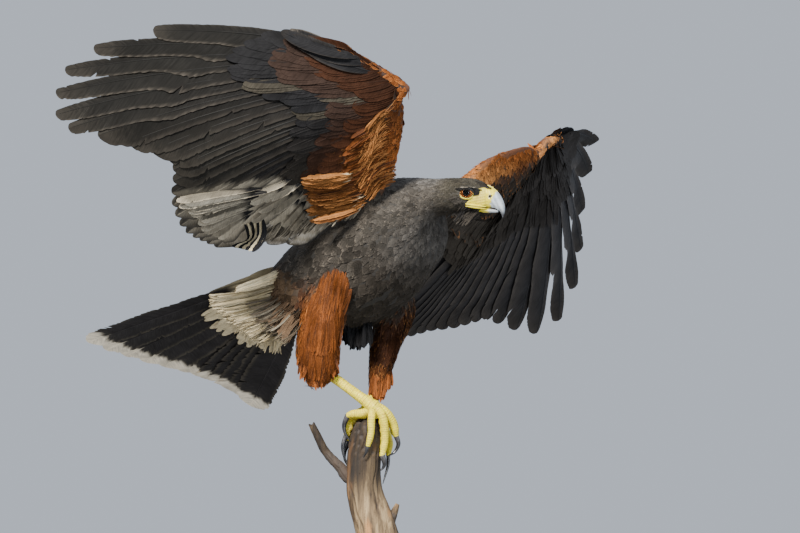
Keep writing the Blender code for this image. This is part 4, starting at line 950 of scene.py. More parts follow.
def tier_colour(wing, tier, index, below):
    """The colour of a wing covert by its tier, its place along the wing and its face."""
    near = wing.side == 1
    inner = ease(8, 20, index)
    if near and below:
        if tier == "greater":
            return PALE_BEIGE * 0.08 if index in (5, 9) else blend(SLATE * 0.8, UMBER * 0.7, inner)
        if tier == "median":
            warm = blend(CHARCOAL * 0.7, DARK_RUFOUS * 0.6, 0.35 + 0.4 * inner)
            return PALE_BEIGE * 0.10 if index == 8 else warm
        return blend(DARK_RUFOUS * 0.45, DARK_RUFOUS * 0.9, inner)
    if below:
        return blend(CHARCOAL, UMBER, inner) * (1.3 if tier == "lesser" else 1.1)
    if tier == "greater":
        return blend(SLATE * 1.3, CHARCOAL, inner)
    if tier == "median":
        return blend(CHARCOAL, DARK_RUFOUS * 0.7, 0.2 + 0.3 * inner)
    return blend(DARK_RUFOUS * 0.6, DARK_RUFOUS * 1.2, inner)


def dress_wing(wing, label, thumb, looks):
    """Flight feathers, tiers of coverts on both faces and the thumb's feathers."""
    flight = Vanes()
    for index in range(len(wing.lengths)):
        form = flight_form(index)
        stations, rows = wing.sheet(index, form, 1.0)
        lift = (0.0, -TERTIAL_RISE if index >= FLIGHT else 0.0)
        wear = 0.07 if wing.side == 1 else 0.04
        flight.feather(stations, rows, form, 0, wing.lengths[index], lift,
                       flight_tints(wing, index), wear=wear, rib=1.25,
                       seed_shift=index * 1.7, camber=0.012)
    quills = flight.piece(f"flight_{label}", looks["flight"])
    ride(quills, "flight_feathers", *(f"wing_{label}_{part}" for part in ("arm", "forearm", "hand")))
    coverts = Vanes()
    for below in (True, False):
        for tier, reach, levels, margin in COVERT_TIERS:
            for part in range((len(wing.lengths) - 1) * COVERTS_EACH + 1):
                index, step = divmod(part, COVERTS_EACH)
                stations, rows = wing.sheet(index, COVERT, 3.0)
                if step:
                    following = wing.sheet(index + 1, COVERT, 3.0)
                    rows = rows + (following[1] - rows) * step / COVERTS_EACH
                length = wing.lengths[index]
                last = length * reach * DRAW.uniform(0.86, 1.10)
                if index >= FLIGHT - 1:
                    last = min(last, length * 0.36)
                sign = 1 if below else -1
                extra = DRAW.uniform(-0.5, 0.5)
                lift = (sign * levels, sign * (margin + extra))
                colour = tier_colour(wing, tier, index, below)
                coverts.feather(stations, rows, COVERT, -6, last, lift,
                                plain_tints(colour, colour * 1.7, 0.25), wear=0.06, rib=0.3,
                                seed_shift=part * 0.9, fine=3.6, columns=4, rise=0.75,
                                camber=0.04)
    along, across, under = wing.frame(0, 20)
    for rank, (length, share, lean) in enumerate(thumb):
        root = wing.joints["wrist"] + (wing.joints["tip"] - wing.joints["wrist"]) * share
        root = root - across * 2 - under * (2.5 + 1.3 * rank)
        aim = unit(along - across * lean)
        side = unit(across - aim * np.dot(across, aim))
        tilted = unit(side + under * 0.1)
        stations, rows = straight_sheet(root, aim, tilted, under, length)
        coverts.feather(stations, rows, ALULA, 0, length, (0.0, 0.0),
                        plain_tints(SLATE, PALE_EDGE, 0.25), rib=0.8, fine=3.2)
    small = coverts.piece(f"coverts_{label}", looks["coverts"])
    ride(small, "rufous_feathers", *(f"wing_{label}_{part}" for part in ("arm", "forearm", "hand")))
    return quills, small


def free_row(spot, under, side):
    """One station of a feather that keeps its full width on both sides."""
    return [spot, under, [0.0] * 3, -side, [1.0] * 3, side, [1.0] * 3]


def straight_sheet(root, aim, side, under, length, curve=0.0):
    """Stations for a feather that grows by itself, bent toward its under side."""
    stations = np.linspace(0, length, 9)
    rows = []
    for distance in stations:
        share = distance / length
        spot = root + aim * distance + under * curve * share ** 2
        rows.append(free_row(spot, under, side))
    return stations, np.array(rows, dtype=float)


def dress_tail(tail, looks):
    """Twelve dark feathers with pale ends, and cream coverts above and below."""
    fan = Vanes()
    for index in range(TAIL_FEATHERS):
        stations, rows = tail.sheet(index)
        form = TAIL_VANE
        if index >= TAIL_FEATHERS // 2:
            form = tuple((share, inner, outer) for share, outer, inner in form)
        jitter = DRAW.uniform(0.85, 1.15)

        def tints(share, aside, points, jitter=jitter, index=index):
            base = np.broadcast_to(TAIL_BLACK * jitter, share.shape + (3,))
            ripple = 0.008 * np.sin(aside * 9 + index) - 0.012 * np.abs(aside)
            base = blend(base, TAIL_TIP, ease(0.905, 0.925, share + ripple))
            base = blend(np.broadcast_to(CREAM, base.shape), base, ease(0.22, 0.30, share))
            return base, rgba(np.broadcast_to(CREAM * 0.45, base.shape), 0.13)
        fan.feather(stations, rows, form, 0, TAIL_LENGTH, (0.0, 0.0), tints, wear=0.14, rib=1.3,
                    seed_shift=index * 2.3, fine=2.4, sweep=0.7, camber=0.015)
    ride(fan.piece("tail_fan", looks["flight"]), "flight_feathers", "tail")
    cover = Vanes()
    for side, reaches in ((1, (112, 96, 76, 56, 40)), (-1, (96, 80, 62, 44))):
        for tier, reach in enumerate(reaches):
            count = 19 - 2 * tier
            for rank in range(count):
                place = 0.2 + (TAIL_FEATHERS - 1.4) * rank / (count - 1)
                inward = 1 - ((place - 5.5) / 5.5) ** 2
                length = reach * (0.80 + 0.26 * inward) * DRAW.uniform(0.93, 1.07)
                root, aim, across, under = tail.between(place, 8)
                height = side * (5.2 + 2.2 * inward + 1.6 * tier)
                aim = unit(aim + across * DRAW.uniform(-0.05, 0.05))
                stations, rows = straight_sheet(root + under * height * 0.75, aim, across, under,
                                                length, side * (1.8 - 2.6 * DRAW.random()))
                edge = CREAM * 0.75
                tint = blend(CREAM, CREAM * 0.8, DRAW.random())
                cover.feather(stations, rows, SLIM, 0, length, (0.0, height * 0.25),
                              plain_tints(tint, edge, 0.35, 0.06), wear=0.12, rib=0.4,
                              fine=2.6, columns=5, camber=0.08, seed_shift=rank * 1.1 + tier)
    ride(cover.piece("tail_coverts", looks["down"]), "plumage")


# The field that tells how the coat lies: places over the body with the lie of the feathers
# there, their length, width, spacing and lift, their colour and the colour of their rims.
FIELD_COLUMNS = {"flow": 3, "length": 1, "width": 1, "spacing": 1, "lift": 1, "tint": 3,
                 "edge": 3, "strength": 1, "kind": 1}
BODY, THIGH, WINGS, TAILROOT = 0, 1, 2, 3
# How roots are spread: tries for each one wanted, the least gap as a share of the spacing,
# and how cells grow from one size of feather to the next.
TRIES_EACH = 3.6
CLOSEST = 0.72
CELL_STEP = 1.35
VOXEL = 1.9
FEATHER_TURN = 0.19
BAKE_PATCH = 0.003
PIECE_TRIANGLES = 190000


class Field:
    """Values at places over the body, read anywhere near them."""

    def __init__(self):
        self.places = []
        self.values = []

    def add(self, places, **columns):
        count = len(places)
        row = []
        for key, size in FIELD_COLUMNS.items():
            value = np.asarray(columns[key], dtype=float)
            if value.ndim == 0 or (value.ndim == 1 and size > 1):
                value = np.broadcast_to(value, (count, size))
            row.append(value.reshape(count, size))
        self.places.append(np.asarray(places))
        self.values.append(np.hstack(row))

    def close(self):
        self.places = np.vstack(self.places)
        self.values = np.vstack(self.values)
        self.tree = KDTree(len(self.places))
        for index, place in enumerate(self.places):
            self.tree.insert(place, index)
        self.tree.balance()

    def read(self, points):
        """The field at each point, blended between its nearest places."""
        result = np.empty((len(points), self.values.shape[1]))
        for row, point in enumerate(points):
            near = self.tree.find_n(point, 4)
            weight = np.array([1 / (distance + 0.5) ** 2 for _, _, distance in near])
            values = self.values[[index for _, index, _ in near]]
            result[row] = (values * weight[:, None]).sum(axis=0) / weight.sum()
            result[row, -1] = values[0, -1]
        made = {}
        start = 0
        for key, size in FIELD_COLUMNS.items():
            made[key] = result[:, start:start + size]
            if size == 1:
                made[key] = made[key][:, 0]
            start += size
        return made


def body_rings(steps, sides):
    """Rings of trunk, neck and head, from the tail to the bill."""
    rows = []
    for along, above, below, half_width in TRUNK:
        centre = TAIL_BASE + SPINE * along + BACK * (above - below) / 2
        rows.append(np.concatenate([centre, BACK * (above + below) / 2, RIGHT * half_width]))
    for along, above, below, half_width in HEAD:
        centre = HEAD_CENTRE + FACE * along + CROWN * (above - below) / 2
        rows.append(np.concatenate([centre, CROWN * (above + below) / 2, CHEEK * half_width]))
    rows = smooth_rows(rows, steps)
    return np.array([oval(row[:3], row[3:6], row[6:], sides, 2.15) for row in rows])


def thigh_rings(rows, steps, sides):
    rows = smooth_rows([np.array([*centre, across, deep], float) for centre, across, deep in rows],
                       steps)
    return np.array([oval(row[:3], np.array([row[3], 0, 0]), np.array([0, row[4], 0]), sides)
                     for row in rows])


def core_sections(wing):
    """Leading point, trailing point and thickness of each section of a wing's flesh."""
    joints = wing.joints
    shoulder, elbow, wrist, tip = (joints[key] for key in ("shoulder", "elbow", "wrist", "tip"))
    last = len(wing.lengths) - 1
    chord_in = wing.aims[last]
    chord_elbow = wing.aims[FLIGHT - 1]
    chord_wrist = wing.aims[PRIMARIES]
    outward = unit(wrist - elbow)
    fore = shoulder + (wrist - shoulder) * 0.36
    middle = shoulder + (wrist - shoulder) * 0.7
    fore_bulge = unit(fore - elbow) * wing.patagium[0]
    middle_bulge = unit(middle - elbow) * wing.patagium[1]
    hand = tip + (wrist - tip) * 0.5
    along_hand = unit(tip - wrist)
    return (
        (shoulder - chord_in * 18, shoulder + chord_in * 34, 30),
        (fore - chord_in * 12 + fore_bulge, elbow * 0.45 + shoulder * 0.55 + chord_in * 18, 22),
        (middle - chord_in * 11 + middle_bulge, elbow + chord_elbow * 9, 17),
        (wrist - outward * 16 - chord_wrist * 10, elbow * 0.4 + wrist * 0.6 + chord_wrist * 9, 15),
        (wrist + outward * 1 - chord_wrist * 5, wrist + chord_wrist * 10, 14),
        (hand - wing.aims[5] * 8, hand + wing.aims[5] * 10, 11),
        (tip - wing.aims[0] * 2 + along_hand * 4, tip + wing.aims[0] * 8 - along_hand * 3, 7),
    )


def core_rings(wing, steps, sides):
    """Rings of a wing's flesh, each from its leading edge round, and its chords."""
    rows = []
    for place, (lead, trail, thickness) in enumerate(core_sections(wing)):
        if place == 0:
            under = wing.frame(len(wing.lengths) - 1, 20)[2]
        else:
            nearest = int(np.argmin(np.linalg.norm(wing.roots - trail, axis=1)))
            under = wing.frame(nearest, 20)[2]
        rows.append(np.concatenate([(lead + trail) / 2, (trail - lead) / 2, under * thickness / 2]))
    rows = smooth_rows(rows, steps)
    return np.array([oval(row[:3], row[3:6], row[6:], sides) for row in rows]), rows


def body_field(field):
    """How feathers lie on trunk, neck and head, and their colours."""
    steps, sides = 6, 44
    rings = body_rings(steps, sides)
    station = np.arange(len(rings)) / steps
    length = read_keys({0: 30, 2: 27, 4: 25, 6: 22, 7: 17, 8: 12, 9: 8, 10: 6.2, 11: 4.6,
                        12: 3.4, 13: 2.6, 14: 2.2}, station)[:, 0]
    width = read_keys({0: 0.26, 3: 0.29, 6: 0.30, 8: 0.26, 10: 0.22, 14: 0.2}, station)[:, 0]
    spacing = read_keys({0: 0.29, 6: 0.29, 8: 0.28, 11: 0.33, 14: 0.42}, station)[:, 0] * length
    lift = read_keys({0: 1.4, 6: 1.0, 8: 0.8, 10: 0.6, 14: 0.4}, station)[:, 0]
    angles = 2 * math.pi * np.arange(sides) / sides
    top = np.cos(angles)
    flow = -np.gradient(rings, axis=0)
    for row in range(len(rings)):
        # The upper side is painted lighter than the lower, and the flank takes a paler lit colour:
        # painted light.
        base = blend(UMBER * 0.95, UMBER * 1.2, ease(-0.7, 0.0, top))
        front = ease(6.0, 7.5, station[row]) * (1 - ease(8.0, 9.5, station[row]))
        base = base + 0.022 * (ease(0.45, 0.9, top) + front)[:, None]
        flank = ease(-0.75, -0.2, top) * (1 - ease(0.35, 0.9, top))
        breast = ease(2.6, 6.5, station[row])
        lit = TAUPE * (0.42 + 0.34 * ease(-0.1, 0.5, top))[:, None]
        base = blend(base, lit, flank * (0.25 + 0.6 * breast))
        vent = 1 - ease(1.2, 3.2, station[row])
        base = blend(base, np.array([0.10, 0.066, 0.045]), vent * 0.75)
        cream = (1 - ease(0.3, 1.5, station[row])) * ease(-0.1, 0.5, -top)
        base = blend(base, CREAM * 0.9, cream * 0.9)
        head = ease(8.5, 10, station[row])
        base = blend(base, np.array([0.040, 0.036, 0.027]), head * (0.4 + 0.5 * ease(-0.5, 0.4, top)))
        across, down = picture_places(rings[row])
        near = (rings[row] - rings[row].mean(axis=0)) @ RIGHT > 0
        inside = ((across - 334) / 12) ** 2 + ((down - 300) / 27) ** 2
        base = blend(base, RUFOUS * 0.9, (1 - ease(0.8, 1.15, inside)) * near)
        rear = (1 - ease(0.8, 1.3, ((across - 279) / 22) ** 2 + ((down - 284) / 24) ** 2)) * near
        base = blend(base, np.array([0.105, 0.068, 0.040]), rear * 0.85)
        throat = head * ease(0.55, 0.95, -top)
        base = blend(base, UMBER * 0.9, throat * 0.8)
        edge = blend(PALE_EDGE * 0.7, np.array([0.20, 0.13, 0.08]), vent * np.ones(sides))
        strength = (0.46 * (0.35 + 0.65 * flank)) * (1 - 0.3 * head)
        field.add(rings[row], flow=unit(flow[row]), length=length[row], width=width[row],
                  spacing=spacing[row], lift=lift[row], tint=base, edge=edge,
                  strength=strength, kind=BODY)


def thigh_field(field, rows, near):
    """What grows on one thigh: long hanging feathers, darker toward the body."""
    steps, sides = 5, 26
    rings = thigh_rings(rows, steps, sides)
    share = np.linspace(0, 1, len(rings))
    flow = np.gradient(rings, axis=0)
    for row in range(len(rings)):
        out = rings[row] - rings[row].mean(axis=0)
        lie = unit(unit(flow[row]) + unit(out) * 0.06 + np.array([-0.05, 0, -0.35]))
        tint = np.broadcast_to(RUFOUS * 0.82, (sides, 3))
        # The far thigh is painted dark rufous above and paler below: painted shade over most of it,
        # painted light on its lower part.
        if not near:
            tint = blend(DARK_RUFOUS * 0.5, RUFOUS * 0.7, np.full(sides, ease(0.5, 0.85, share[row])))
        upper = 1 - ease(0.02, 0.22, share[row])
        tint = blend(tint, UMBER, np.full(sides, upper))
        mottle = 0.8 + 0.35 * np.sin(rings[row][:, 2] * 0.31 + rings[row][:, 0] * 0.5)
        field.add(rings[row], flow=lie, length=21 - 8 * share[row], width=0.12,
                  spacing=3.3, lift=1.7, tint=tint * mottle[:, None], edge=BRIGHT_RUFOUS * 0.8,
                  strength=0.4, kind=THIGH)


def wing_field(field, wing):
    """How the small coverts lie on a wing's flesh, and their colours on its two faces."""
    steps, sides = 6, 26
    rings, rows = core_rings(wing, steps, sides)
    near = wing.side == 1
    count = len(rings)
    for row in range(count):
        span = row / (count - 1)
        centre, half, under = rows[row][:3], rows[row][3:6], rows[row][6:]
        nearest = int(np.argmin(np.linalg.norm(wing.roots - centre - half, axis=1)))
        flow = np.broadcast_to(unit(wing.aims[nearest]), (sides, 3))
        out = rings[row] - centre
        chord = out @ unit(half) / np.linalg.norm(half)
        below = ease(-0.6, 0.6, out @ unit(under) / np.linalg.norm(under))
        armpit = 1 - ease(0.18, 0.42, span)
        leading = 1 - ease(-0.9, -0.2, chord)
        wrist = ease(0.35, 0.55, span) * (1 - ease(0.78, 0.95, span))
        across, down = picture_places(rings[row])
        if near:
            warm = np.clip(armpit * (0.35 + 0.65 * leading) + leading * (0.1 + 0.7 * wrist), 0, 1)
            tint = blend(DARK_RUFOUS * 0.7, RUFOUS * 1.15, warm)
        else:
            # On the far wing's under side the rufous coverts are painted bright above a wavy line in
            # the picture and umber below it: their own rufous, with painted sunlight above the line
            # and painted shade below.
            border = np.interp(across, (480, 500, 540, 556), (187, 173, 147, 141))
            border = border + 2.5 * np.sin(across * 0.8)
            tint = blend(UMBER * 0.9, BRIGHT_RUFOUS * 1.1, 1 - ease(-1.5, 1.5, down - border))
        dorsal = blend(RUFOUS * 0.8, UMBER, ease(-0.2, 0.9, chord))
        tint = blend(dorsal, tint, below)
        hand = ease(0.80, 0.97, span)
        tint = blend(tint, CHARCOAL, np.full(sides, hand * 0.8))
        low = ease(178, 188, down) * near
        tint = blend(tint, UMBER * 1.3, low)
        edge = blend(BRIGHT_RUFOUS * 0.9, TAUPE, low)
        size = 10 + 9 * (1 - leading)
        field.add(rings[row], flow=flow, length=size, width=0.30, spacing=size * 0.31,
                  lift=1.5, tint=tint, edge=edge, strength=0.45, kind=WINGS)


def tail_field(field, tail):
    for distance in range(0, 60, 6):
        spots = []
        for place in np.linspace(0, 11, 16):
            spot, _, _, under = tail.between(place, distance)
            spots += [spot + under * 7, spot - under * 7]
        field.add(np.array(spots), flow=unit(tail.aims[5] + tail.aims[6]), length=26, width=0.3,
                  spacing=7, lift=2.0, tint=CREAM, edge=(0.5, 0.46, 0.38), strength=0.4,
                  kind=TAILROOT)


def make_skin(wings, tail):
    """One skin over trunk, neck, head, thighs and the flesh of wings and tail."""
    rough = [loft_piece("part", body_rings(4, 40)),
             loft_piece("part", thigh_rings(RIGHT_THIGH, 4, 24)),
             loft_piece("part", thigh_rings(LEFT_THIGH, 4, 24))]
    for wing in wings:
        rough.append(loft_piece("part", core_rings(wing, 4, 20)[0]))
    rings = []
    for distance, across, deep in ((4, 13, 8), (24, 19, 10), (46, 25, 7), (56, 22, 3)):
        centre = (tail.shaft(5, distance) + tail.shaft(6, distance)) / 2
        side = unit(tail.shaft(8, distance) - tail.shaft(3, distance))
        rings.append(oval(centre, side * across, tail.frame(5, distance)[2] * deep, 20))
    rough.append(loft_piece("part", rings))
    for side in (1, -1):
        path = smooth_rows([head_point(*place, side) for place in BROW], 5)
        radii = 0.5 + 2.5 * np.sin(np.linspace(0.1, 3.04, len(path)))
        rough.append(loft_piece("part", bar_rings(path, radii, 10)))
    skin = join_pieces("skin", rough)
    shaped = skin.modifiers.new("even", "REMESH")
    shaped.mode = "VOXEL"
    shaped.voxel_size = VOXEL * MM
    settle(skin)
    soft = skin.modifiers.new("soft", "SMOOTH")
    soft.iterations = 6
    soft.factor = 0.5
    settle(skin)
    return skin


def head_point(ahead, aside, above, side=1):
    return HEAD_CENTRE + FACE * ahead + CHEEK * (aside * side) + CROWN * above


def head_half_width(ahead, above):
    """Half the head's width at a place ahead of its centre and a height."""
    rows = smooth_rows(HEAD, 6)
    tops, lows, halves = (np.interp(ahead, rows[:, 0], rows[:, column]) for column in (1, 2, 3))
    centre = (tops - lows) / 2
    reach = (tops + lows) / 2
    inside = np.clip(1 - np.abs((above - centre) / reach) ** 2.15, 0.0, 1)
    return halves * inside ** (1 / 2.15)


def local_to_head(points):
    away = points - HEAD_CENTRE
    return away @ FACE, away @ CHEEK, away @ CROWN


def bare_face(points):
    """True where eye, lores, cere and bill leave no room for feathers."""
    ahead, aside, above = local_to_head(points)
    line = np.array(LORE_LINE)
    bare = (ahead > np.interp(above, line[:, 0], line[:, 1])) & (np.abs(aside) < 24)
    width = EYE_RADIUS * EYE_OPENING[0] * 1.18
    height = EYE_RADIUS * EYE_OPENING[1] * 1.22
    centre_ahead = EYE_PLACE[0] + EYE_AXIS[0] * EYE_RADIUS
    eye = ((ahead - centre_ahead) / width) ** 2 + ((above - EYE_PLACE[2]) / height) ** 2 < 1
    return bare | (eye & (np.abs(aside) > 8) & (np.abs(aside) < 26))


def skin_arrays(skin):
    """Corners of the skin's triangles, its unwrap and its normals."""
    mesh = skin.data
    mesh.calc_loop_triangles()
    count = len(mesh.loop_triangles)
    corners = np.empty(count * 3, dtype=np.int32)
    loops = np.empty(count * 3, dtype=np.int32)
    mesh.loop_triangles.foreach_get("vertices", corners)
    mesh.loop_triangles.foreach_get("loops", loops)
    points = np.empty(len(mesh.vertices) * 3)
    mesh.vertices.foreach_get("co", points)
    normals = np.empty(len(mesh.vertices) * 3)
    mesh.vertices.foreach_get("normal", normals)
    unwrap = np.empty(len(mesh.loops) * 2)
    mesh.uv_layers["OFBake"].data.foreach_get("uv", unwrap)
    return (corners.reshape(-1, 3), loops.reshape(-1, 3), points.reshape(-1, 3) / MM,
            normals.reshape(-1, 3), unwrap.reshape(-1, 2))


def finish_skin(skin, field, looks):
    """Unwraps the skin, sinks it by the coat's depth and gives it the coat's markings."""
    bpy.ops.object.select_all(action="DESELECT")
    skin.select_set(True)
    bpy.context.view_layer.objects.active = skin
    while skin.data.uv_layers:
        skin.data.uv_layers.remove(skin.data.uv_layers[0])
    skin.data.uv_layers.new(name="OFBake")
    bpy.ops.object.mode_set(mode="EDIT")
    bpy.ops.mesh.select_all(action="SELECT")
    bpy.ops.uv.smart_project(angle_limit=math.radians(66), island_margin=0.002)
    bpy.ops.object.mode_set(mode="OBJECT")
    _, _, points, normals, _ = skin_arrays(skin)
    values = field.read(points)
    depth = np.clip(values["lift"] * 0.75, 0.3, 1.8)
    moved = points - normals * depth[:, None]
    skin.data.vertices.foreach_set("co", (moved * MM).ravel())
    layer = skin.data.color_attributes.new("Tint", "FLOAT_COLOR", "POINT")
    tint = np.column_stack([values["tint"] * 0.62, np.ones(len(points))])
    layer.data.foreach_set("color", tint.ravel())
    skin.data.materials.clear()
    skin.data.materials.append(looks["skin"])
    skin.data.shade_smooth()
    skin.data.update()


def crowded(taken, level, cell, spot, limit):
    """True where a root that was kept before lies nearer than the limit."""
    for step in itertools.product((-1, 0, 1), repeat=3):
        for other in taken.get((level, *(cell + step)), ()):
            gap = other - spot
            if gap[0] * gap[0] + gap[1] * gap[1] + gap[2] * gap[2] < limit * limit:
                return True
    return False


def spread_roots(skin, field):
    """Roots over the skin, spaced as the field asks, with what the field says there."""
    corners, loops, points, _, unwrap = skin_arrays(skin)
    a, b, c = (points[corners[:, column]] for column in range(3))
    cross = np.cross(b - a, c - a)
    area = np.linalg.norm(cross, axis=1) / 2
    facing = unit(cross)
    spacing = field.read(points)["spacing"][corners].mean(axis=1)
    wanted = area / (spacing ** 2) * TRIES_EACH
    number = np.floor(wanted + DRAW.random(len(wanted))).astype(int)
    triangle = np.repeat(np.arange(len(corners)), number)
    first, second = DRAW.random(len(triangle)), DRAW.random(len(triangle))
    flip = first + second > 1
    first[flip], second[flip] = 1 - first[flip], 1 - second[flip]
    third = 1 - first - second
    spots = (a[triangle] * third[:, None] + b[triangle] * first[:, None]
             + c[triangle] * second[:, None])
    maps = (unwrap[loops[triangle, 0]] * third[:, None] + unwrap[loops[triangle, 1]] * first[:, None]
            + unwrap[loops[triangle, 2]] * second[:, None])
    order = DRAW.permutation(len(triangle))
    limits = spacing[triangle] * CLOSEST
    levels = np.round(np.log(limits) / math.log(CELL_STEP)).astype(int)
    taken = {}
    kept = []
    for row in order:
        size = CELL_STEP ** (levels[row] + 0.5)
        cell = np.floor(spots[row] / size).astype(int)
        if not crowded(taken, levels[row], cell, spots[row], limits[row]):
            taken.setdefault((levels[row], *cell), []).append(spots[row])
            kept.append(row)
    kept = np.array(kept)
    spots, maps, facing = spots[kept], maps[kept], facing[triangle[kept]]
    clear = ~bare_face(spots)
    return spots[clear], maps[clear], facing[clear]


def grow_coat(name, tree, roots, maps, facing, values, look, rows, columns, slot, fray):
    """Feathers as small bent vanes that follow the skin and lie over one another."""
    count = len(roots)
    lengths = values["length"] * DRAW.uniform(0.82, 1.18, count)
    widths = values["width"] * lengths * DRAW.uniform(0.85, 1.15, count)
    flow = unit(values["flow"] - facing * (values["flow"] * facing).sum(axis=1)[:, None])
    turn = DRAW.normal(0, FEATHER_TURN, count)
    flow = unit(flow + np.cross(facing, flow) * turn[:, None])
    segments = 4
    places = np.empty((count, segments + 1, 3))
    normals = np.empty((count, segments + 1, 3))
    for index in range(count):
        spot, normal, lie = roots[index], facing[index], flow[index]
        step = lengths[index] / segments
        places[index, 0], normals[index, 0] = spot, normal
        for part in range(1, segments + 1):
            ahead = spot + lie * step
            found, outward, _, distance = tree.find_nearest(ahead * MM, 0.02)
            if found is not None and distance / MM < step * 0.5:
                spot = np.array(found) / MM
                outward = np.array(outward)
                normal = unit(outward * 0.7 + normal * 0.3)
            else:
                spot = ahead
            lie = unit(spot - places[index, part - 1])
            lie = unit(lie - normal * (lie @ normal) * 0.5)
            places[index, part], normals[index, part] = spot, normal
    t = np.linspace(0, 1, rows)
    slots = t * segments
    lower = np.minimum(slots.astype(int), segments - 1)
    share = (slots - lower)[None, :, None]
    spine = places[:, lower] * (1 - share) + places[:, lower + 1] * share
    normal = unit(normals[:, lower] * (1 - share) + normals[:, lower + 1] * share)
    ahead = unit(np.gradient(spine, axis=1))
    side = unit(np.cross(normal, ahead))
    s = np.linspace(-1, 1, columns)
    profile = np.clip(np.sin(np.pi * np.clip(t * 0.88 + 0.10, 0, 1)), 0, 1) ** 0.7
    profile[-1] = 0.18
    height = values["lift"] * DRAW.uniform(0.75, 1.3, count)
    sink = -0.5 + 1.35 * t ** 0.8
    outline = widths[:, None] * profile[None, :]
    ragged = 1 - (0.08 + fray) * DRAW.random((count, rows, columns)) * (np.abs(s) > 0.8)
    aside = outline[:, :, None] * s * ragged
    behind = -(np.abs(s) ** 1.6) * 0.32 * widths[:, None, None] * ease(0.25, 1.0, t)[:, None]
    tips = DRAW.uniform(-1.0, 0.5, (count, columns)) * fray * lengths[:, None]
    behind = behind + tips[:, None, :] * ease(0.55, 1.0, t)[None, :, None]
    lifted = height[:, None, None] * sink[None, :, None] - (s ** 2) * outline[:, :, None] * 0.16
    points = (spine[:, :, None] + side[:, :, None] * aside[..., None]
              + ahead[:, :, None] * behind[..., None] + normal[:, :, None] * lifted[..., None])
    shade = DRAW.normal(1, 0.20, count).clip(0.5, 1.7)
    tint = values["tint"] * shade[:, None]
    tint = np.broadcast_to(tint[:, None, None], points.shape)
    tint = tint * (0.72 + 0.42 * t)[None, :, None, None]
    edge = values["edge"] * DRAW.uniform(0.7, 1.25, count)[:, None]
    strength = values["strength"] * DRAW.uniform(0.4, 1.25, count)
    rim = np.concatenate([np.broadcast_to(edge[:, None, None], points.shape),
                          np.broadcast_to(strength[:, None, None, None], points.shape[:3] + (1,))],
                         axis=-1)
    u = np.broadcast_to(0.5 + 0.5 * s[None, None], points.shape[:3])
    v = np.broadcast_to(t[None, :, None], points.shape[:3])
    web = np.stack([u, v], axis=-1)
    along = v * lengths[:, None, None]
    barb = np.stack([(along - np.abs(aside)) * 0.1 + np.arange(count)[:, None, None] * 0.37,
                     np.abs(aside) * 0.1], axis=-1)
    bake = maps[:, None, None] + (web - 0.5) * BAKE_PATCH
    made = mesh_piece(name, points.reshape(-1, 3), grid_faces(rows, columns, count), look,
                      layers={"OFBake": bake.reshape(-1, 2), "Web": web.reshape(-1, 2),
                              "Barb": barb.reshape(-1, 2)},
                      colours={"Tint": tint.reshape(-1, 3), "Rim": rim.reshape(-1, 4)})
    return ride(made, slot)


def grow_coats(skin, field, looks):
    """The coat of the whole body, in pieces of less than two hundred thousand triangles."""
    roots, maps, facing = spread_roots(skin, field)
    values = field.read(roots)
    mesh = skin.data
    tree = BVHTree.FromPolygons([vertex.co.copy() for vertex in mesh.vertices],
                                [tuple(polygon.vertices) for polygon in mesh.polygons])
    body = values["kind"] == BODY
    face = body & (values["length"] <= 7)
    groups = (
        ("coat_body", body & (values["length"] > 19), 7, 9, "plumage", "coat", 0.10),
        ("coat_neck", body & ~face & (values["length"] <= 19), 7, 5, "plumage", "coat", 0.12),
        ("coat_head", face, 6, 4, "plumage", "coat", 0.14),
        ("coat_thighs", values["kind"] == THIGH, 8, 5, "rufous_feathers", "coat", 0.16),
        ("coat_wings", values["kind"] == WINGS, 7, 5, "rufous_feathers", "coat", 0.10),
        ("coat_rump", values["kind"] == TAILROOT, 8, 5, "plumage", "down", 0.10),
    )
    for name, chosen, rows, columns, slot, look, fray in groups:
        places = np.flatnonzero(chosen)
        most = PIECE_TRIANGLES // ((rows - 1) * (columns - 1) * 2)
        for part, start in enumerate(range(0, len(places), most)):
            some = places[start:start + most]
            picked = {key: value[some] for key, value in values.items()}
            grow_coat(f"{name}_{part + 1}", tree, roots[some], maps[some], facing[some], picked,
                      looks[look], rows, columns, slot, fray)
        print(name, len(places), "feathers")


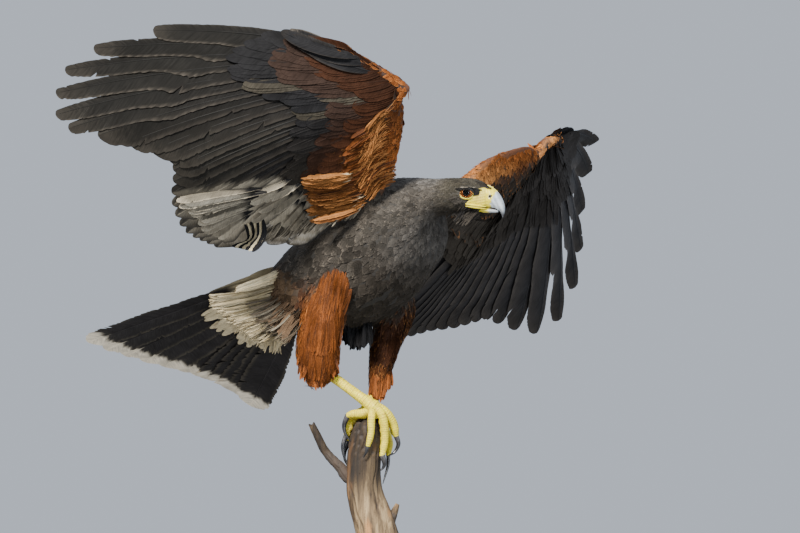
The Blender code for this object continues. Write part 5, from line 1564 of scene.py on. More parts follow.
class Strokes:
    """Loose feathers laid on what shows at places of the picture."""

    def __init__(self, pieces):
        corners, faces = [], []
        for piece in pieces:
            start = len(corners)
            corners += [vertex.co.copy() for vertex in piece.data.vertices]
            faces += [tuple(start + corner for corner in polygon.vertices)
                      for polygon in piece.data.polygons]
        self.tree = BVHTree.FromPolygons(corners, faces)
        self.vanes = Vanes()

    def depth(self, place):
        """How far away the surface lies that shows at a place, or nothing."""
        eye = Vector(CAMERA_PLACE * MM)
        aim = (Vector(view_point(*place, 0.0) * MM) - eye).normalized()
        hit = self.tree.ray_cast(eye, aim, 12.0)[0]
        return None if hit is None else hit[1] / MM

    def feather(self, start, end, half_width, colour, edge, strength=0.4, base=None, bend=0.0,
                lift=(1.0, 4.0), wear=0.12, spread=0.2, columns=4):
        """One feather from a place to another; bend bows it to its right, in pixels."""
        start, end = np.array(start, float), np.array(end, float)
        across = np.array([-(end - start)[1], (end - start)[0]])
        across = across / max(np.linalg.norm(across), 1e-6)
        shares = np.linspace(0, 1, 7)
        places = [start + (end - start) * share + across * bend * math.sin(math.pi * share)
                  for share in shares]
        found = [self.depth(place) for place in places]
        known = [depth for depth in found[:3] if depth is not None]
        if not known:
            return
        depths = []
        last = min(known)
        for depth in found:
            if depth is not None and abs(depth - last) < 14:
                last = 0.4 * last + 0.6 * depth
            depths.append(last)
        path = np.array([view_point(*place, depth - lift[0] - (lift[1] - lift[0]) * share)
                         for place, depth, share in zip(places, depths, shares)])
        path[0, 1] += lift[0] + 1.5
        aims = unit(np.gradient(path, axis=0))
        length = float(np.linalg.norm(np.diff(path, axis=0), axis=1).sum())
        stations = shares * length
        rows = []
        tilt = DRAW.uniform(-0.35, 0.35)
        for spot, aim in zip(path, aims):
            side = unit(np.cross(aim, np.array([0.0, -1.0, 0.15])))
            under = np.cross(side, aim)
            side = unit(side + under * tilt)
            rows.append(free_row(spot, under, side))
        form = tuple((share, width * half_width / 6, other * half_width / 6)
                     for share, width, other in SLIM)
        self.vanes.feather(stations, np.array(rows, dtype=float), form, 0, length, (0.0, 0.0),
                           plain_tints(colour, edge, strength, spread, base, 0.3), wear=wear,
                           rib=0.16 + 0.03 * half_width, fine=2.2, columns=columns, camber=0.10,
                           seed_shift=DRAW.random() * 30)

    def band(self, count, starts, ends, half_width, colours, edge, jitter=2.0, **settings):
        """Feathers between two lines of places, in random order along them."""
        starts, ends = np.array(starts, float), np.array(ends, float)
        for share in DRAW.permutation(np.linspace(0, 1, count)):
            place = share * (len(starts) - 1)
            spots = []
            for line in (starts, ends):
                spots.append([np.interp(place, range(len(line)), line[:, axis])
                              + DRAW.uniform(-jitter, jitter) for axis in (0, 1)])
            colour = blend(colours[0], colours[1], DRAW.random())
            self.feather(*spots, half_width * DRAW.uniform(0.75, 1.25), colour, edge, **settings)


# Pale feathers of the armpit, pale with wear and painted sunlight: where each starts and ends in the
# picture, and half its width.
SUNLIT_WORN_FEATHERS = (
    ((292, 178), (256, 192), 5.5), ((302, 182), (262, 200), 6.5), ((296, 190), (258, 212), 6.0),
    ((304, 188), (268, 214), 7.0), ((300, 198), (270, 224), 6.0), ((306, 200), (282, 226), 6.5),
    ((308, 208), (290, 230), 5.0), ((284, 186), (250, 204), 5.0), ((280, 200), (252, 222), 5.5))


def dress_armpit(pieces, looks):
    """Loose feathers under the near wing: rufous ones with white bases, pale ones with wear and
    painted sunlight, fringes.
    """
    loose = Strokes(pieces)
    glow = BRIGHT_RUFOUS * 0.65
    dark = (DARK_RUFOUS * 0.8, RUFOUS * 0.5)
    loose.band(60, ((390, 122), (391, 136), (391, 156), (391, 176)),
               ((356, 140), (348, 156), (350, 172), (366, 188)), 2.6, dark, RUFOUS * 0.6, 6.0,
               bend=3.0, lift=(1.0, 2.5))
    loose.band(70, ((362, 182), (368, 192)), ((306, 190), (318, 204)), 2.2, dark, glow, 5.0,
               bend=-1.0, lift=(0.8, 2.0), spread=0.4)
    # Rufous feathers in an upper and a lower group, every third with a white base.
    for place in range(110):
        upper = place < 36
        right = (354, 176) if upper else (364, 199)
        left = (305, 183) if upper else (310, 208)
        height = DRAW.uniform(-6, 6) if upper else DRAW.uniform(-12, 15)
        top = 0.5 - height / 12 if upper else DRAW.random()
        loose.feather((right[0] + DRAW.uniform(-12, 6), right[1] + height * 0.5),
                      (left[0] + DRAW.uniform(-5, 26), left[1] + height),
                      DRAW.uniform(1.4, 3.4), blend(RUFOUS * 0.3, glow, min(max(top, 0), 1)),
                      glow * 1.2, wear=0.3, bend=DRAW.uniform(-3, 1), lift=(1.5, 3.5), spread=0.35,
                      base=CREAM * 1.1 if place % 3 == 0 else None)
    loose.band(260, ((388, 112), (391, 140), (392, 160), (392, 182)),
               ((370, 130), (350, 156), (354, 176), (372, 198)), 1.0,
               (RUFOUS * 0.2, glow * 1.1), glow, 5.0, bend=2.5, lift=(1.0, 2.4), spread=0.5,
               columns=3)
    loose.band(90, ((386, 120), (389, 142), (389, 170)), ((372, 142), (360, 162), (366, 190)), 0.6,
               (glow * 0.8, glow * 1.5), glow * 1.2, 6.0, bend=3.0, lift=(1.5, 3.0), columns=3)
    # Their dark bases are painted shade where they overlap.
    for place, (start, end, half_width) in enumerate(SUNLIT_WORN_FEATHERS):
        loose.feather(start, end, half_width, PALE_BEIGE * (0.5, 1.0, 0.75)[place % 3], PALE_BEIGE * 1.3,
                      base=SLATE, lift=(2.0, 5.0), wear=0.15, columns=6, spread=0.2)
    # Longer pale feathers in one row, with wear, painted sunlight and dark bases as painted shade.
    for place in range(14):
        share = place / 13
        start = (264 - 18 * share + DRAW.uniform(-6, 6), 188 + 26 * share)
        end = (178 + 36 * share + DRAW.uniform(-5, 5), 201 + 38 * share)
        loose.feather(start, end, 6.5, PALE_BEIGE * (0.4, 1.1, 0.8)[place % 3], PALE_BEIGE * 1.3, base=SLATE,
                      bend=3.0, lift=(1.5, 6.0), wear=0.12, columns=6, spread=0.25)
    loose.band(90, ((276, 224), (300, 220), (334, 212), (366, 203)),
               ((264, 238), (286, 237), (318, 229), (350, 217)), 0.9, (UMBER, PALE_BEIGE * 0.9), PALE_BEIGE,
               3.0, columns=3)
    for rank in range(7):
        colour = (SLATE, CREAM * 0.6)[rank % 2]
        loose.feather((262 - 3 * rank, 216 + 1.2 * rank), (252 - 3.4 * rank, 252 - rank), 3.0,
                      colour, colour, bend=-7.0 - rank, lift=(3.0, 7.0 - rank * 0.4))
    for rank, (start, end) in enumerate((((374, 72), (302, 42)), ((368, 64), (290, 36)),
                                         ((362, 57), (281, 31)))):
        loose.feather(start, end, 8.0, SLATE * 1.1, UMBER, bend=-4.0, lift=(1.0 + rank, 3.0 + rank),
                      columns=6, wear=0.03)
    ride(loose.vanes.piece("armpit_feathers", looks["coverts"]), "rufous_feathers")


def dress_body(pieces, looks):
    """Loose feathers of flank, belly, thighs and throat that break the body's outline."""
    loose = Strokes(pieces)
    brown = np.array([0.085, 0.055, 0.034])
    # Flank and rump: broad brown feathers, then fine ones over the tail's root.
    loose.band(120, ((268, 262), (272, 285), (286, 300), (300, 316)),
               ((262, 292), (262, 308), (270, 324), (286, 340)), 2.2, (brown * 0.5, brown * 1.5),
               brown * 2, 4.0, bend=2.0, lift=(1.0, 3.0))
    loose.band(110, ((272, 294), (288, 308), (300, 324)), ((246, 304), (260, 324), (284, 344)), 0.9,
               (brown * 0.7, PALE_BEIGE * 0.5), CREAM * 0.2, 5.0, bend=-2.0, lift=(1.0, 4.0), columns=3)
    # The dark belly between the thighs.
    loose.band(60, ((345, 325), (356, 328), (372, 322)), ((343, 342), (354, 349), (370, 345)), 1.8,
               (SLATE * 0.5, SLATE), SLATE * 1.5, 3.0, lift=(0.2, 1.0))
    loose.band(5, ((360, 338), (364, 338)), ((359, 357), (365, 352)), 1.6, (SLATE, SLATE), UMBER,
               1.0, lift=(0.5, 2.0))
    # The near thigh: its upper part, its lower part and the ends over the shank.
    fire = (DARK_RUFOUS * 1.2, RUFOUS * 0.95)
    loose.band(130, ((317, 292), (325, 275), (335, 269), (344, 273), (349, 290)),
               ((309, 318), (317, 318), (329, 318), (338, 316), (343, 314)), 1.8, fire,
               RUFOUS * 1.6, 4.0, lift=(3.0, 0.3), columns=3, spread=0.3)
    loose.band(150, ((307, 330), (316, 340), (326, 344), (335, 336)),
               ((301, 366), (312, 376), (324, 376), (336, 368)), 1.6, fire,
               RUFOUS * 1.6, 6.0, lift=(0.3, 0.8), columns=3, spread=0.3)
    loose.band(40, ((303, 358), (312, 366), (328, 366), (338, 358)),
               ((299, 376), (313, 390), (325, 386), (341, 375)), 1.2, fire,
               RUFOUS * 1.6, 3.0, lift=(0.3, 0.8), columns=3, spread=0.3)
    # The far thigh's ends, paler than the rest of it: painted light on its lower part.
    loose.band(50, ((374, 372), (382, 376), (392, 368)), ((370, 394), (381, 401), (391, 386)), 1.4,
               (DARK_RUFOUS, RUFOUS * 1.2), RUFOUS, 2.0, lift=(0.5, 2.0), columns=3)
    # The throat.
    loose.band(90, ((466, 207), (474, 210), (484, 211)), ((454, 217), (460, 223), (472, 220)), 0.9,
               (SLATE * 0.8, UMBER * 1.3), UMBER * 1.5, 4.0, lift=(0.2, 0.9), columns=3)
    # The middle of the near thigh, and the far one, painted very dark as painted shade.
    loose.band(260, ((312, 300), (322, 312), (334, 312), (341, 300)),
               ((305, 342), (317, 352), (329, 352), (337, 342)), 1.4, fire, RUFOUS * 1.5, 5.0,
               lift=(1.2, 1.2), columns=3, spread=0.3, wear=0.25)
    loose.band(120, ((385, 325), (394, 325), (402, 325)), ((377, 362), (386, 366), (395, 356)), 1.4,
               (DARK_RUFOUS * 0.35, DARK_RUFOUS * 0.8), DARK_RUFOUS, 4.0, lift=(1.0, 1.0),
               columns=3, wear=0.25)
    ride(loose.vanes.piece("loose_feathers", looks["coat"]), "plumage")
    vent = Strokes([*pieces, bpy.data.objects["tail_fan"], bpy.data.objects["tail_coverts"]])
    ochre = np.array([0.34, 0.26, 0.13])
    vent.band(520, ((272, 284), (270, 296), (274, 308), (284, 322)),
              ((212, 298), (216, 306), (236, 324), (264, 342)), 0.9, (ochre * 0.6, CREAM * 0.8),
              CREAM, 4.5, bend=-2.0, lift=(0.6, 2.0), columns=3, wear=0.3, spread=0.5)
    vent.band(260, ((278, 272), (272, 282), (268, 294)), ((238, 288), (236, 294), (234, 304)), 0.9,
              (CREAM * 0.9, CREAM * 1.3), CREAM * 1.3, 2.5, lift=(1.6, 3.0), columns=3, wear=0.3)
    vent.band(120, ((246, 312), (262, 326), (282, 334)), ((234, 328), (252, 342), (278, 352)), 0.7,
              (CREAM * 0.5, CREAM), CREAM, 5.0, lift=(0.5, 2.0), columns=3, wear=0.3)
    vent.band(26, ((270, 276), (272, 282)), ((257, 279), (258, 286)), 1.2,
              (brown * 0.5, brown * 1.2), CREAM * 0.4, 1.5, lift=(2.0, 3.0), columns=3)
    ride(vent.vanes.piece("vent_down", looks["down"]), "plumage")


def dress_face(pieces, looks):
    """Small feathers of the near side of the face: brow, forehead and the spot before the eye."""
    loose = Strokes(pieces)
    # The second band, dark along the brow over the eye, is dark feathers made darker as painted shade
    # under the brow; the fourth, a thin pale line on the brow's top, is a painted highlight.
    for count, starts, ends, half_width, colours in (
            (90, ((493, 189.6), (489, 186.8), (486, 184.8)), ((480, 185.5), (478, 183.5), (475, 181)),
             0.8, (CHARCOAL, UMBER * 1.2)),
            (70, ((470, 190.0), (483, 190.8)), ((455, 189.0), (470, 187.6)), 0.9,
             (SLATE * 0.4, SLATE)),
            (40, ((481, 190.5), (479, 194.5)), ((471, 189.5), (473, 195.5)), 0.6,
             (SLATE * 0.5, SLATE)),
            (12, ((473, 187.2), (477, 187.6)), ((460, 187.2), (464, 187.2)), 0.45,
             (TAUPE * 2, PALE_BEIGE * 0.9)),
            (50, ((458, 196), (464, 202)), ((448, 199), (455, 205)), 0.5, (UMBER, TAUPE * 0.8))):
        loose.band(count, starts, ends, half_width, colours, TAUPE, 0.5, lift=(0.25, 0.6),
                   columns=3, wear=0.2)
    ride(loose.vanes.piece("face_feathers", looks["coat"]), "plumage")


def make_eyes(looks):
    """Each eye with its ring of yellow lid."""
    for side, label in ((1, "right"), (-1, "left")):
        centre = head_point(*EYE_PLACE, side)
        axis = unit(FACE * EYE_AXIS[0] + CHEEK * EYE_AXIS[1] * side + CROWN * EYE_AXIS[2])
        up = unit(CROWN - axis * np.dot(CROWN, axis))
        along = np.cross(axis, up)
        rows, sides = 40, 48
        rings, colour = [], []
        for row in range(1, rows):
            angle = math.pi * row / rows
            reach = math.sin(angle) * EYE_RADIUS
            rings.append(oval(centre + axis * math.cos(angle) * EYE_RADIUS, along * reach,
                              up * reach, sides))
            colour.append(iris_colour(angle, sides))
        globe = loft_piece(f"eyeball_{label}", rings, looks["eye"], {"Tint": colour})
        ride(globe, "eye", f"eye_{label}")
        cornea = []
        for row in range(0, 13):
            angle = 0.03 + 0.80 * row / 12
            swell = EYE_RADIUS * (1.012 + 0.05 * math.cos(angle * 1.9))
            cornea.append(oval(centre + axis * math.cos(angle) * swell,
                               along * math.sin(angle) * swell, up * math.sin(angle) * swell, 40))
        ride(loft_piece(f"cornea_{label}", cornea, looks["cornea"]), "eye")
        lid = []
        for step in range(56):
            angle = 2 * math.pi * step / 56
            wide = EYE_OPENING[0] * math.cos(angle)
            high = EYE_OPENING[1] * math.sin(angle) * (BROW_CUT if math.sin(angle) > 0 else 1.0)
            high = high - 0.05 * math.cos(angle) ** 2 * (1 if math.cos(angle) * side < 0 else 0)
            ring = []
            for scale, swell in LID_SECTION:
                brow = BROW_REACH * (scale - 1) * max(math.sin(angle), 0)
                x, y = wide * scale, high * scale + brow
                deep = math.sqrt(max(1 - x * x - y * y, 0.01))
                ring.append(centre + (along * x + up * y + axis * deep) * EYE_RADIUS * swell)
            lid.append(ring)
        points = np.array(lid)
        count, section = points.shape[:2]
        faces = grid_faces(count, section)
        last = (count - 1) * section
        closing = np.array([[last + k, last + k + 1, k + 1, k] for k in range(section - 1)])
        tint = np.broadcast_to(YELLOW * 0.9, (count, section, 3)).copy()
        tint[:, 0] = (0.02, 0.015, 0.012)
        tint[:, 1] = YELLOW * 0.45
        for step in range(count):
            above = ease(-0.1, 0.3, math.sin(2 * math.pi * step / count))
            tint[step, 1:] = blend(tint[step, 1:], SLATE * 0.6, np.full(section - 1, above))
        piece = mesh_piece(f"lid_{label}", points.reshape(-1, 3), np.vstack([faces, closing]),
                           looks["bare"], colours={"Tint": tint.reshape(-1, 3)})
        ride(piece, "yellow_scale")


def iris_colour(angle, sides):
    """Colour round the eye at an angle from its axis: pupil, iris and the dark rim."""
    share = angle / 0.86
    turn = 2 * math.pi * np.arange(sides) / sides
    rays = 0.85 + 0.3 * np.sin(turn * 17 + 3 * np.sin(turn * 5)) * math.sin(share * 6) ** 2
    orange = np.array([0.34, 0.125, 0.028])
    brown = np.array([0.16, 0.042, 0.010])
    colour = blend(brown, orange, np.full(sides, ease(0.52, 0.85, share))) * rays[:, None]
    colour = blend(np.full((sides, 3), 0.003), colour, np.full(sides, ease(0.46, 0.52, share)))
    return blend(colour, np.full((sides, 3), 0.012), np.full(sides, ease(0.90, 1.02, share)))


def make_bill(looks):
    """Cere, bill, mouth and the bare yellow skin before the eyes."""
    rows = []
    for (top_ahead, top_above), (low_ahead, low_above), half_width in UPPER_BILL:
        rows.append((top_ahead, top_above, low_ahead, low_above, half_width))
    fine = smooth_rows(rows, 9)
    sides = 40
    rings, colour = [], []
    for top_ahead, top_above, low_ahead, low_above, half_width in fine:
        top = head_point(top_ahead, 0, top_above)
        low = head_point(low_ahead, 0, low_above)
        ring = oval((top + low) / 2, (top - low) / 2, CHEEK * half_width, sides, 2.25)
        ahead, aside, above = local_to_head(ring)
        # The lower edges draw in to a cutting edge and the ridge narrows.
        under = ease(0.1, 1.0, (np.mean(above) - above) / max(np.ptp(above) / 2, 1e-6))
        ring = ring - np.outer(aside * 0.22 * under, CHEEK)
        boundary = np.interp(above, (-9, 10), (39.3, 47.0)) + 0.5 * np.sin(above * 1.7)
        cere = 1 - ease(-0.5, 0.6, ahead - boundary)
        swell = 0.45 * cere + 0.12 * cere * np.sin(ahead * 2.2 + above)
        middle = (top + low) / 2
        ring = ring + unit(ring - middle) * swell[:, None]
        grey = blend(np.array([0.40, 0.45, 0.50]), np.array([0.055, 0.058, 0.068]),
                     1 - ease(-15.5, -6.0, above))
        grey = grey * (0.88 + 0.2 * np.cos(ahead * 1.3 + above * 0.7))[:, None]
        colour.append(blend(grey, YELLOW * 0.85, cere))
        rings.append(ring)
    upper = loft_piece("bill_upper_shell", rings, looks["bill"], {"Tint": colour})
    for side in (1, -1):
        spot = head_point(*NOSTRIL_PLACE, side)
        hole = loft_piece("hole", nostril_rings(spot, side))
        cut = upper.modifiers.new("nostril", "BOOLEAN")
        cut.operation = "DIFFERENCE"
        cut.object = hole
        cut.solver = "EXACT"
        settle(upper)
        bpy.data.objects.remove(hole, do_unlink=True)
    upper.data.materials.clear()
    upper.data.materials.append(looks["bill"])
    ride(upper, "bill", "bill_upper")
    # A near-black plug sits inside each nostril's hole: painted shade.
    for side, label in ((1, "right"), (-1, "left")):
        spot = head_point(NOSTRIL_PLACE[0], NOSTRIL_PLACE[1] - 1.3, NOSTRIL_PLACE[2], side)
        rings = nostril_rings(spot, side, 1.12)
        shade_plug = loft_piece(f"nostril_{label}", rings, looks["bare"],
                         {"Tint": np.broadcast_to((0.012, 0.010, 0.006), np.shape(rings))})
        ride(shade_plug, "bill")
    lower_rows = [(a, b, c, d, w) for (a, b), (c, d), w in LOWER_BILL]
    rings, colour = [], []
    for top_ahead, top_above, low_ahead, low_above, half_width in smooth_rows(lower_rows, 9):
        top = head_point(top_ahead, 0, top_above)
        low = head_point(low_ahead, 0, low_above)
        ring = oval((top + low) / 2, (top - low) / 2, CHEEK * half_width, 32, 2.2)
        ahead = local_to_head(ring)[0]
        rings.append(ring)
        colour.append(blend(YELLOW * 0.85, np.array([0.30, 0.33, 0.36]), ease(37, 42, ahead)))
    lower = loft_piece("bill_lower_shell", rings, looks["bill"], {"Tint": colour})
    ride(lower, "bill", "bill_lower")
    for side, label in ((1, "right"), (-1, "left")):
        make_lore(side, label, looks)
        line = smooth_rows([head_point(*place, side) for place in GAPE], 8)
        for name, shift, radius, tint in (("lip_upper", 0.8, 1.25, YELLOW * 1.05),
                                          ("lip_lower", -1.3, 1.05, YELLOW * 0.8),
                                          ("mouth_line", -0.35, 0.55, (0.03, 0.012, 0.008))):
            share = np.linspace(0, 1, len(line))
            radii = radius * np.clip(np.sin(np.pi * (0.12 + 0.8 * share)), 0.25, 1)
            aside = CHEEK * side * (0.35 if name == "mouth_line" else 0.1)
            rings = bar_rings(line + CROWN * shift + aside, radii, 12)
            colours = np.broadcast_to(np.asarray(tint), rings.shape)
            ride(loft_piece(f"{name}_{label}", rings, looks["bare"], {"Tint": colours}),
                 "yellow_scale")


def nostril_rings(spot, side, size=1.0):
    """A short slanting oval bar that goes into the cere."""
    rings = []
    for deep, scale in ((-2.2, 0.5), (-1.2, 0.9), (0.2, 1.0), (1.6, 1.05)):
        long_way = unit(FACE * 0.8 + CROWN * 0.6)
        rings.append(oval(spot + CHEEK * side * deep, long_way * 1.75 * scale * size,
                          np.cross(CHEEK, long_way) * 1.25 * scale * size, 16))
    return rings


def make_lore(side, label, looks):
    """Bare yellow skin from the eye to the cere, finely wrinkled."""
    line = np.array(LORE_LINE)
    rows, columns = 40, 36
    above = np.linspace(-8.4, 12.2, rows)[:, None]
    start = np.interp(above, line[:, 0], line[:, 1]) - 2.0
    share = np.linspace(0, 1, columns)[None, :]
    ahead = start + (41.5 - start) * share
    above = above + 0 * ahead
    half = head_half_width(np.minimum(ahead, 37.8), above)
    narrow = np.interp(ahead, (33, 36, 41.5), (0, 0, -1.8))
    border = np.minimum(share / 0.12, 1)
    rim = np.minimum(1, np.minimum((above + 8.4) / 1.5, (12.2 - above) / 1.5))
    lift = -1.6 + 1.75 * np.clip(border, 0, 1) * np.clip(rim, 0, 1)
    wrinkle = 0.30 * np.sin(above * 1.9 + ahead * 0.9) * np.sin(ahead * 1.6 - above * 0.4)
    folds = -0.25 * np.exp(-((ahead - 30 - above * 0.3) / 1.1) ** 2)
    aside = np.maximum(half + narrow + lift + wrinkle + folds, 0.5)
    points = (HEAD_CENTRE + FACE * ahead[..., None] + CHEEK * side * aside[..., None]
              + CROWN * above[..., None])
    pale = ease(-6, 8, above + np.sin(ahead) * 2)
    tint = blend(YELLOW * 0.85, np.array([0.66, 0.56, 0.14]), pale * 0.5)
    tan = np.exp(-((ahead - 30) / 3.5) ** 2 - ((above - 1) / 5) ** 2)
    tint = blend(tint, np.array([0.52, 0.33, 0.10]), tan * 0.5)
    grey = (1 - ease(0.05, 0.35, share)) * ease(1, 7, above)
    tint = blend(tint, SLATE, grey * 0.9)
    piece = mesh_piece(f"lore_{label}", points.reshape(-1, 3), grid_faces(rows, columns),
                       looks["bare"], colours={"Tint": tint.reshape(-1, 3)})
    ride(piece, "yellow_scale")


def scaled_bar(name, path, radii, look, plate, front, sides=28, pads=0.0):
    """A bare scaled limb: broad plates in front, small scales behind, pads below."""
    path = smooth_rows(path, 8)
    length = np.concatenate([[0], np.cumsum(np.linalg.norm(np.diff(path, axis=0), axis=1))])
    count = max(int(length[-1] / 0.55), 24)
    wanted = np.linspace(0, length[-1], count)
    spine = np.stack([np.interp(wanted, length, column) for column in path.T], axis=-1)
    radius = np.interp(wanted, np.linspace(0, length[-1], len(radii)), radii)
    ahead = unit(np.gradient(spine, axis=0))
    face = unit(front - ahead * (ahead @ front)[:, None])
    side = np.cross(ahead, face)
    angles = 2 * math.pi * np.arange(sides) / sides
    cosine, sine = np.cos(angles)[None], np.sin(angles)[None]
    phase = wanted[:, None] / plate + 0.10 * np.abs(sine)
    saw = phase - np.floor(phase)
    step = np.where(saw < 0.86, saw / 0.86, (1 - saw) / 0.14)
    ridge = ease(0.05, 0.5, cosine)
    bead = np.cos(wanted[:, None] / plate * 2 * np.pi * 1.7) * np.cos(angles * 9)[None]
    bulge = 1 + ridge * 0.085 * step + (1 - ridge) * 0.03 * bead
    pad = pads * ease(0.1, 0.9, -cosine) * (0.5 + 0.5 * np.cos(wanted[:, None] / 8.5 * 2 * np.pi))
    reach = radius[:, None] * (bulge + pad)
    points = (spine[:, None] + face[:, None] * (cosine * reach)[..., None]
              + side[:, None] * (sine * reach * 0.94)[..., None])
    groove = ridge * ease(0.84, 0.93, saw) + (1 - ridge) * ease(0.2, 0.9, -bead) * 0.5
    tint = blend(np.broadcast_to(YELLOW, points.shape), SCALE_GROOVE, groove * 0.75)
    below = ease(0.2, 1.0, -cosine) * 0.75 * (pads > 0)
    tint = blend(tint, SOLE, below)
    return loft_piece(name, points, look, {"Tint": tint})


def make_leg(label, shank, toes, claws, looks):
    """Shank, foot with four toes, and the claws."""
    towards = np.array([0.35, -0.85, 0.35])
    bone = scaled_bar(f"shank_skin_{label}", shank, SHANK_RADII, looks["scale"], 3.0, towards)
    ride(bone, "yellow_scale", f"shank_{label}")
    parts = []
    for name, path in toes.items():
        start, end = TOE_RADII[name]
        radii = [start, start * 0.92, (start + end) / 2, end, end * 0.95, end * 0.62]
        away = unit(np.array(path[-1], float) - np.array([-5, 0, 225]))
        outward = unit(np.array([away[0], away[1] - 0.35, 0.35]))
        parts.append(scaled_bar("toe", path, radii, looks["scale"], 2.4, outward, 24, 0.22))
    foot = np.array(shank[-1], float)
    heel = np.array([foot + (np.array(shank[-2], float) - foot) * 0.5, foot,
                     foot + (foot - np.array(shank[-2], float)) * 0.42])
    parts.append(scaled_bar("pad", heel, (5.4, 7.9, 5.0), looks["scale"], 2.6, towards, 28))
    ride(join_pieces(f"foot_skin_{label}", parts), "yellow_scale", f"foot_{label}")
    for name, path in claws.items():
        line = smooth_rows(path, 10)
        share = np.linspace(0, 1, len(line))
        radii = CLAW_RADII[name] * (1 - share * 0.93) ** 0.72
        rings = bar_rings(line, radii, 22, 0.86)
        ridge = 1 + 0.03 * np.sin(np.arange(22) / 22 * 2 * np.pi * 4)
        rings = line[:, None] + (rings - line[:, None]) * ridge[None, :, None]
        pale = blend(np.array([0.045, 0.042, 0.045]), np.array([0.010, 0.010, 0.012]),
                     ease(0.0, 0.4, share))
        tint = np.broadcast_to(pale[:, None], rings.shape)
        ride(loft_piece(f"talon_{label}_{name}", rings, looks["horn"], {"Tint": tint}),
             "horn", f"claw_{label}_{name}")


def crack_depth(angle, height, seed):
    """Grooves that wander down the wood at a few angles."""
    depth = np.zeros_like(angle)
    for index in range(9):
        centre = (index * 0.71 + seed) % (2 * math.pi)
        centre = centre + 0.22 * np.sin(height * 0.035 + index * 1.9) + 0.05 * np.sin(height * 0.21)
        away = np.abs((angle - centre + math.pi) % (2 * math.pi) - math.pi)
        width = 0.035 + 0.03 * np.sin(height * 0.05 + index * 2.3) ** 2
        there = ease(-0.2, 0.5, np.sin(height * 0.045 + index * 2.7))
        depth = np.maximum(depth, np.exp(-(away / width) ** 2) * there)
    return depth


def make_snag(looks):
    """Weathered wood with cracks, pits, a splintered top, a twig and broken stubs."""
    rows = smooth_rows([np.array([*centre, across, deep], float) for centre, across, deep in SNAG],
                       18)
    sides = 112
    angles = 2 * math.pi * np.arange(sides) / sides
    levels = np.arange(len(rows)) / (len(rows) - 1) * 18
    rings, depth_map = [], []
    for row, level in zip(rows, levels):
        ripple = 1 + 0.05 * np.sin(3 * angles + level * 0.35) + 0.03 * np.sin(5 * angles - level * 0.6)
        depth = crack_depth(angles, row[2], 0.3)
        rough = np.array([noise.fractal(Vector((math.cos(a) * 1.6, math.sin(a) * 1.6,
                                                row[2] * 0.02)), 1.0, 2.1, 5) for a in angles])
        pits = np.array([noise.noise(Vector((math.cos(a) * 5, math.sin(a) * 5, row[2] * 0.22)))
                         for a in angles])
        pitted = ease(185, 215, row[2]) * ease(0.05, 0.45, pits)
        reach = ripple * (1 + 0.045 * rough) - 0.10 * depth - 0.07 * pitted
        ring = np.column_stack([row[0] + np.cos(angles) * row[3] * reach,
                                row[1] + np.sin(angles) * row[4] * reach,
                                np.full(sides, row[2])])
        top = ease(226, 236.5, row[2])
        ring[:, 2] += top * (2.2 * np.sin(angles * 7 + 1.3) * np.sin(angles * 3)) - top * 1.2
        rings.append(ring)
        depth_map.append(np.column_stack([depth, pitted, np.clip(rough, 0, 1)]))
    trunk = loft_piece("snag", rings, looks["wood"], {"Wear": depth_map})
    parts = [trunk]
    for name, path, radii in (("twig", TWIG, TWIG_RADII), ("stub", STUB, STUB_RADII)):
        line = smooth_rows(path, 10)
        wide = np.interp(np.linspace(0, 1, len(line)), np.linspace(0, 1, len(radii)), radii)
        rings = bar_rings(line, wide, 40)
        share = np.linspace(0, 1, len(line))
        wear = np.zeros(rings.shape)
        turn = 2 * math.pi * np.arange(40) / 40
        for index in range(len(line)):
            depth = crack_depth(turn, share[index] * 90 + 20, 1.1)
            lumps = np.array([noise.noise(Vector((math.cos(a) * 2, math.sin(a) * 2, index * 0.3)))
                              for a in turn])
            scale = 1 + 0.10 * lumps - 0.16 * depth
            rings[index] = line[index] + (rings[index] - line[index]) * scale[:, None]
            bark = 1 - ease(0.55, 0.66, share[index])
            wear[index] = np.column_stack([depth, np.full(40, bark * 0.9), np.clip(lumps, 0, 1)])
        if name == "twig":
            away = unit(line[-1] - line[-4])
            slant = 2.6 * np.sin(turn * 2 + 0.6)
            rings[-1] += away * slant[:, None] * 0.7
        parts.append(loft_piece(name, rings, looks["wood"], {"Wear": wear}))
    ride(join_pieces("snag_wood", parts), "wood", "perch")


def turned_rings(centre, profile, sides):
    rings = []
    for height, reach in profile:
        spot = np.array([centre[0], centre[1], height], float)
        rings.append(oval(spot, np.array([reach, 0, 0]), np.array([0, reach, 0]), sides))
    return rings


def rounded(low, high, radius, bevel):
    """A turned profile with rounded rims."""
    profile = [(low, radius - bevel)]
    for step in range(7):
        angle = math.pi / 2 * step / 6
        profile.append((low + bevel * (1 - math.cos(angle)), radius - bevel * (1 - math.sin(angle))))
    for step in range(7):
        angle = math.pi / 2 * step / 6
        profile.append((high - bevel * (1 - math.sin(angle)), radius - bevel * (1 - math.cos(angle))))
    return profile


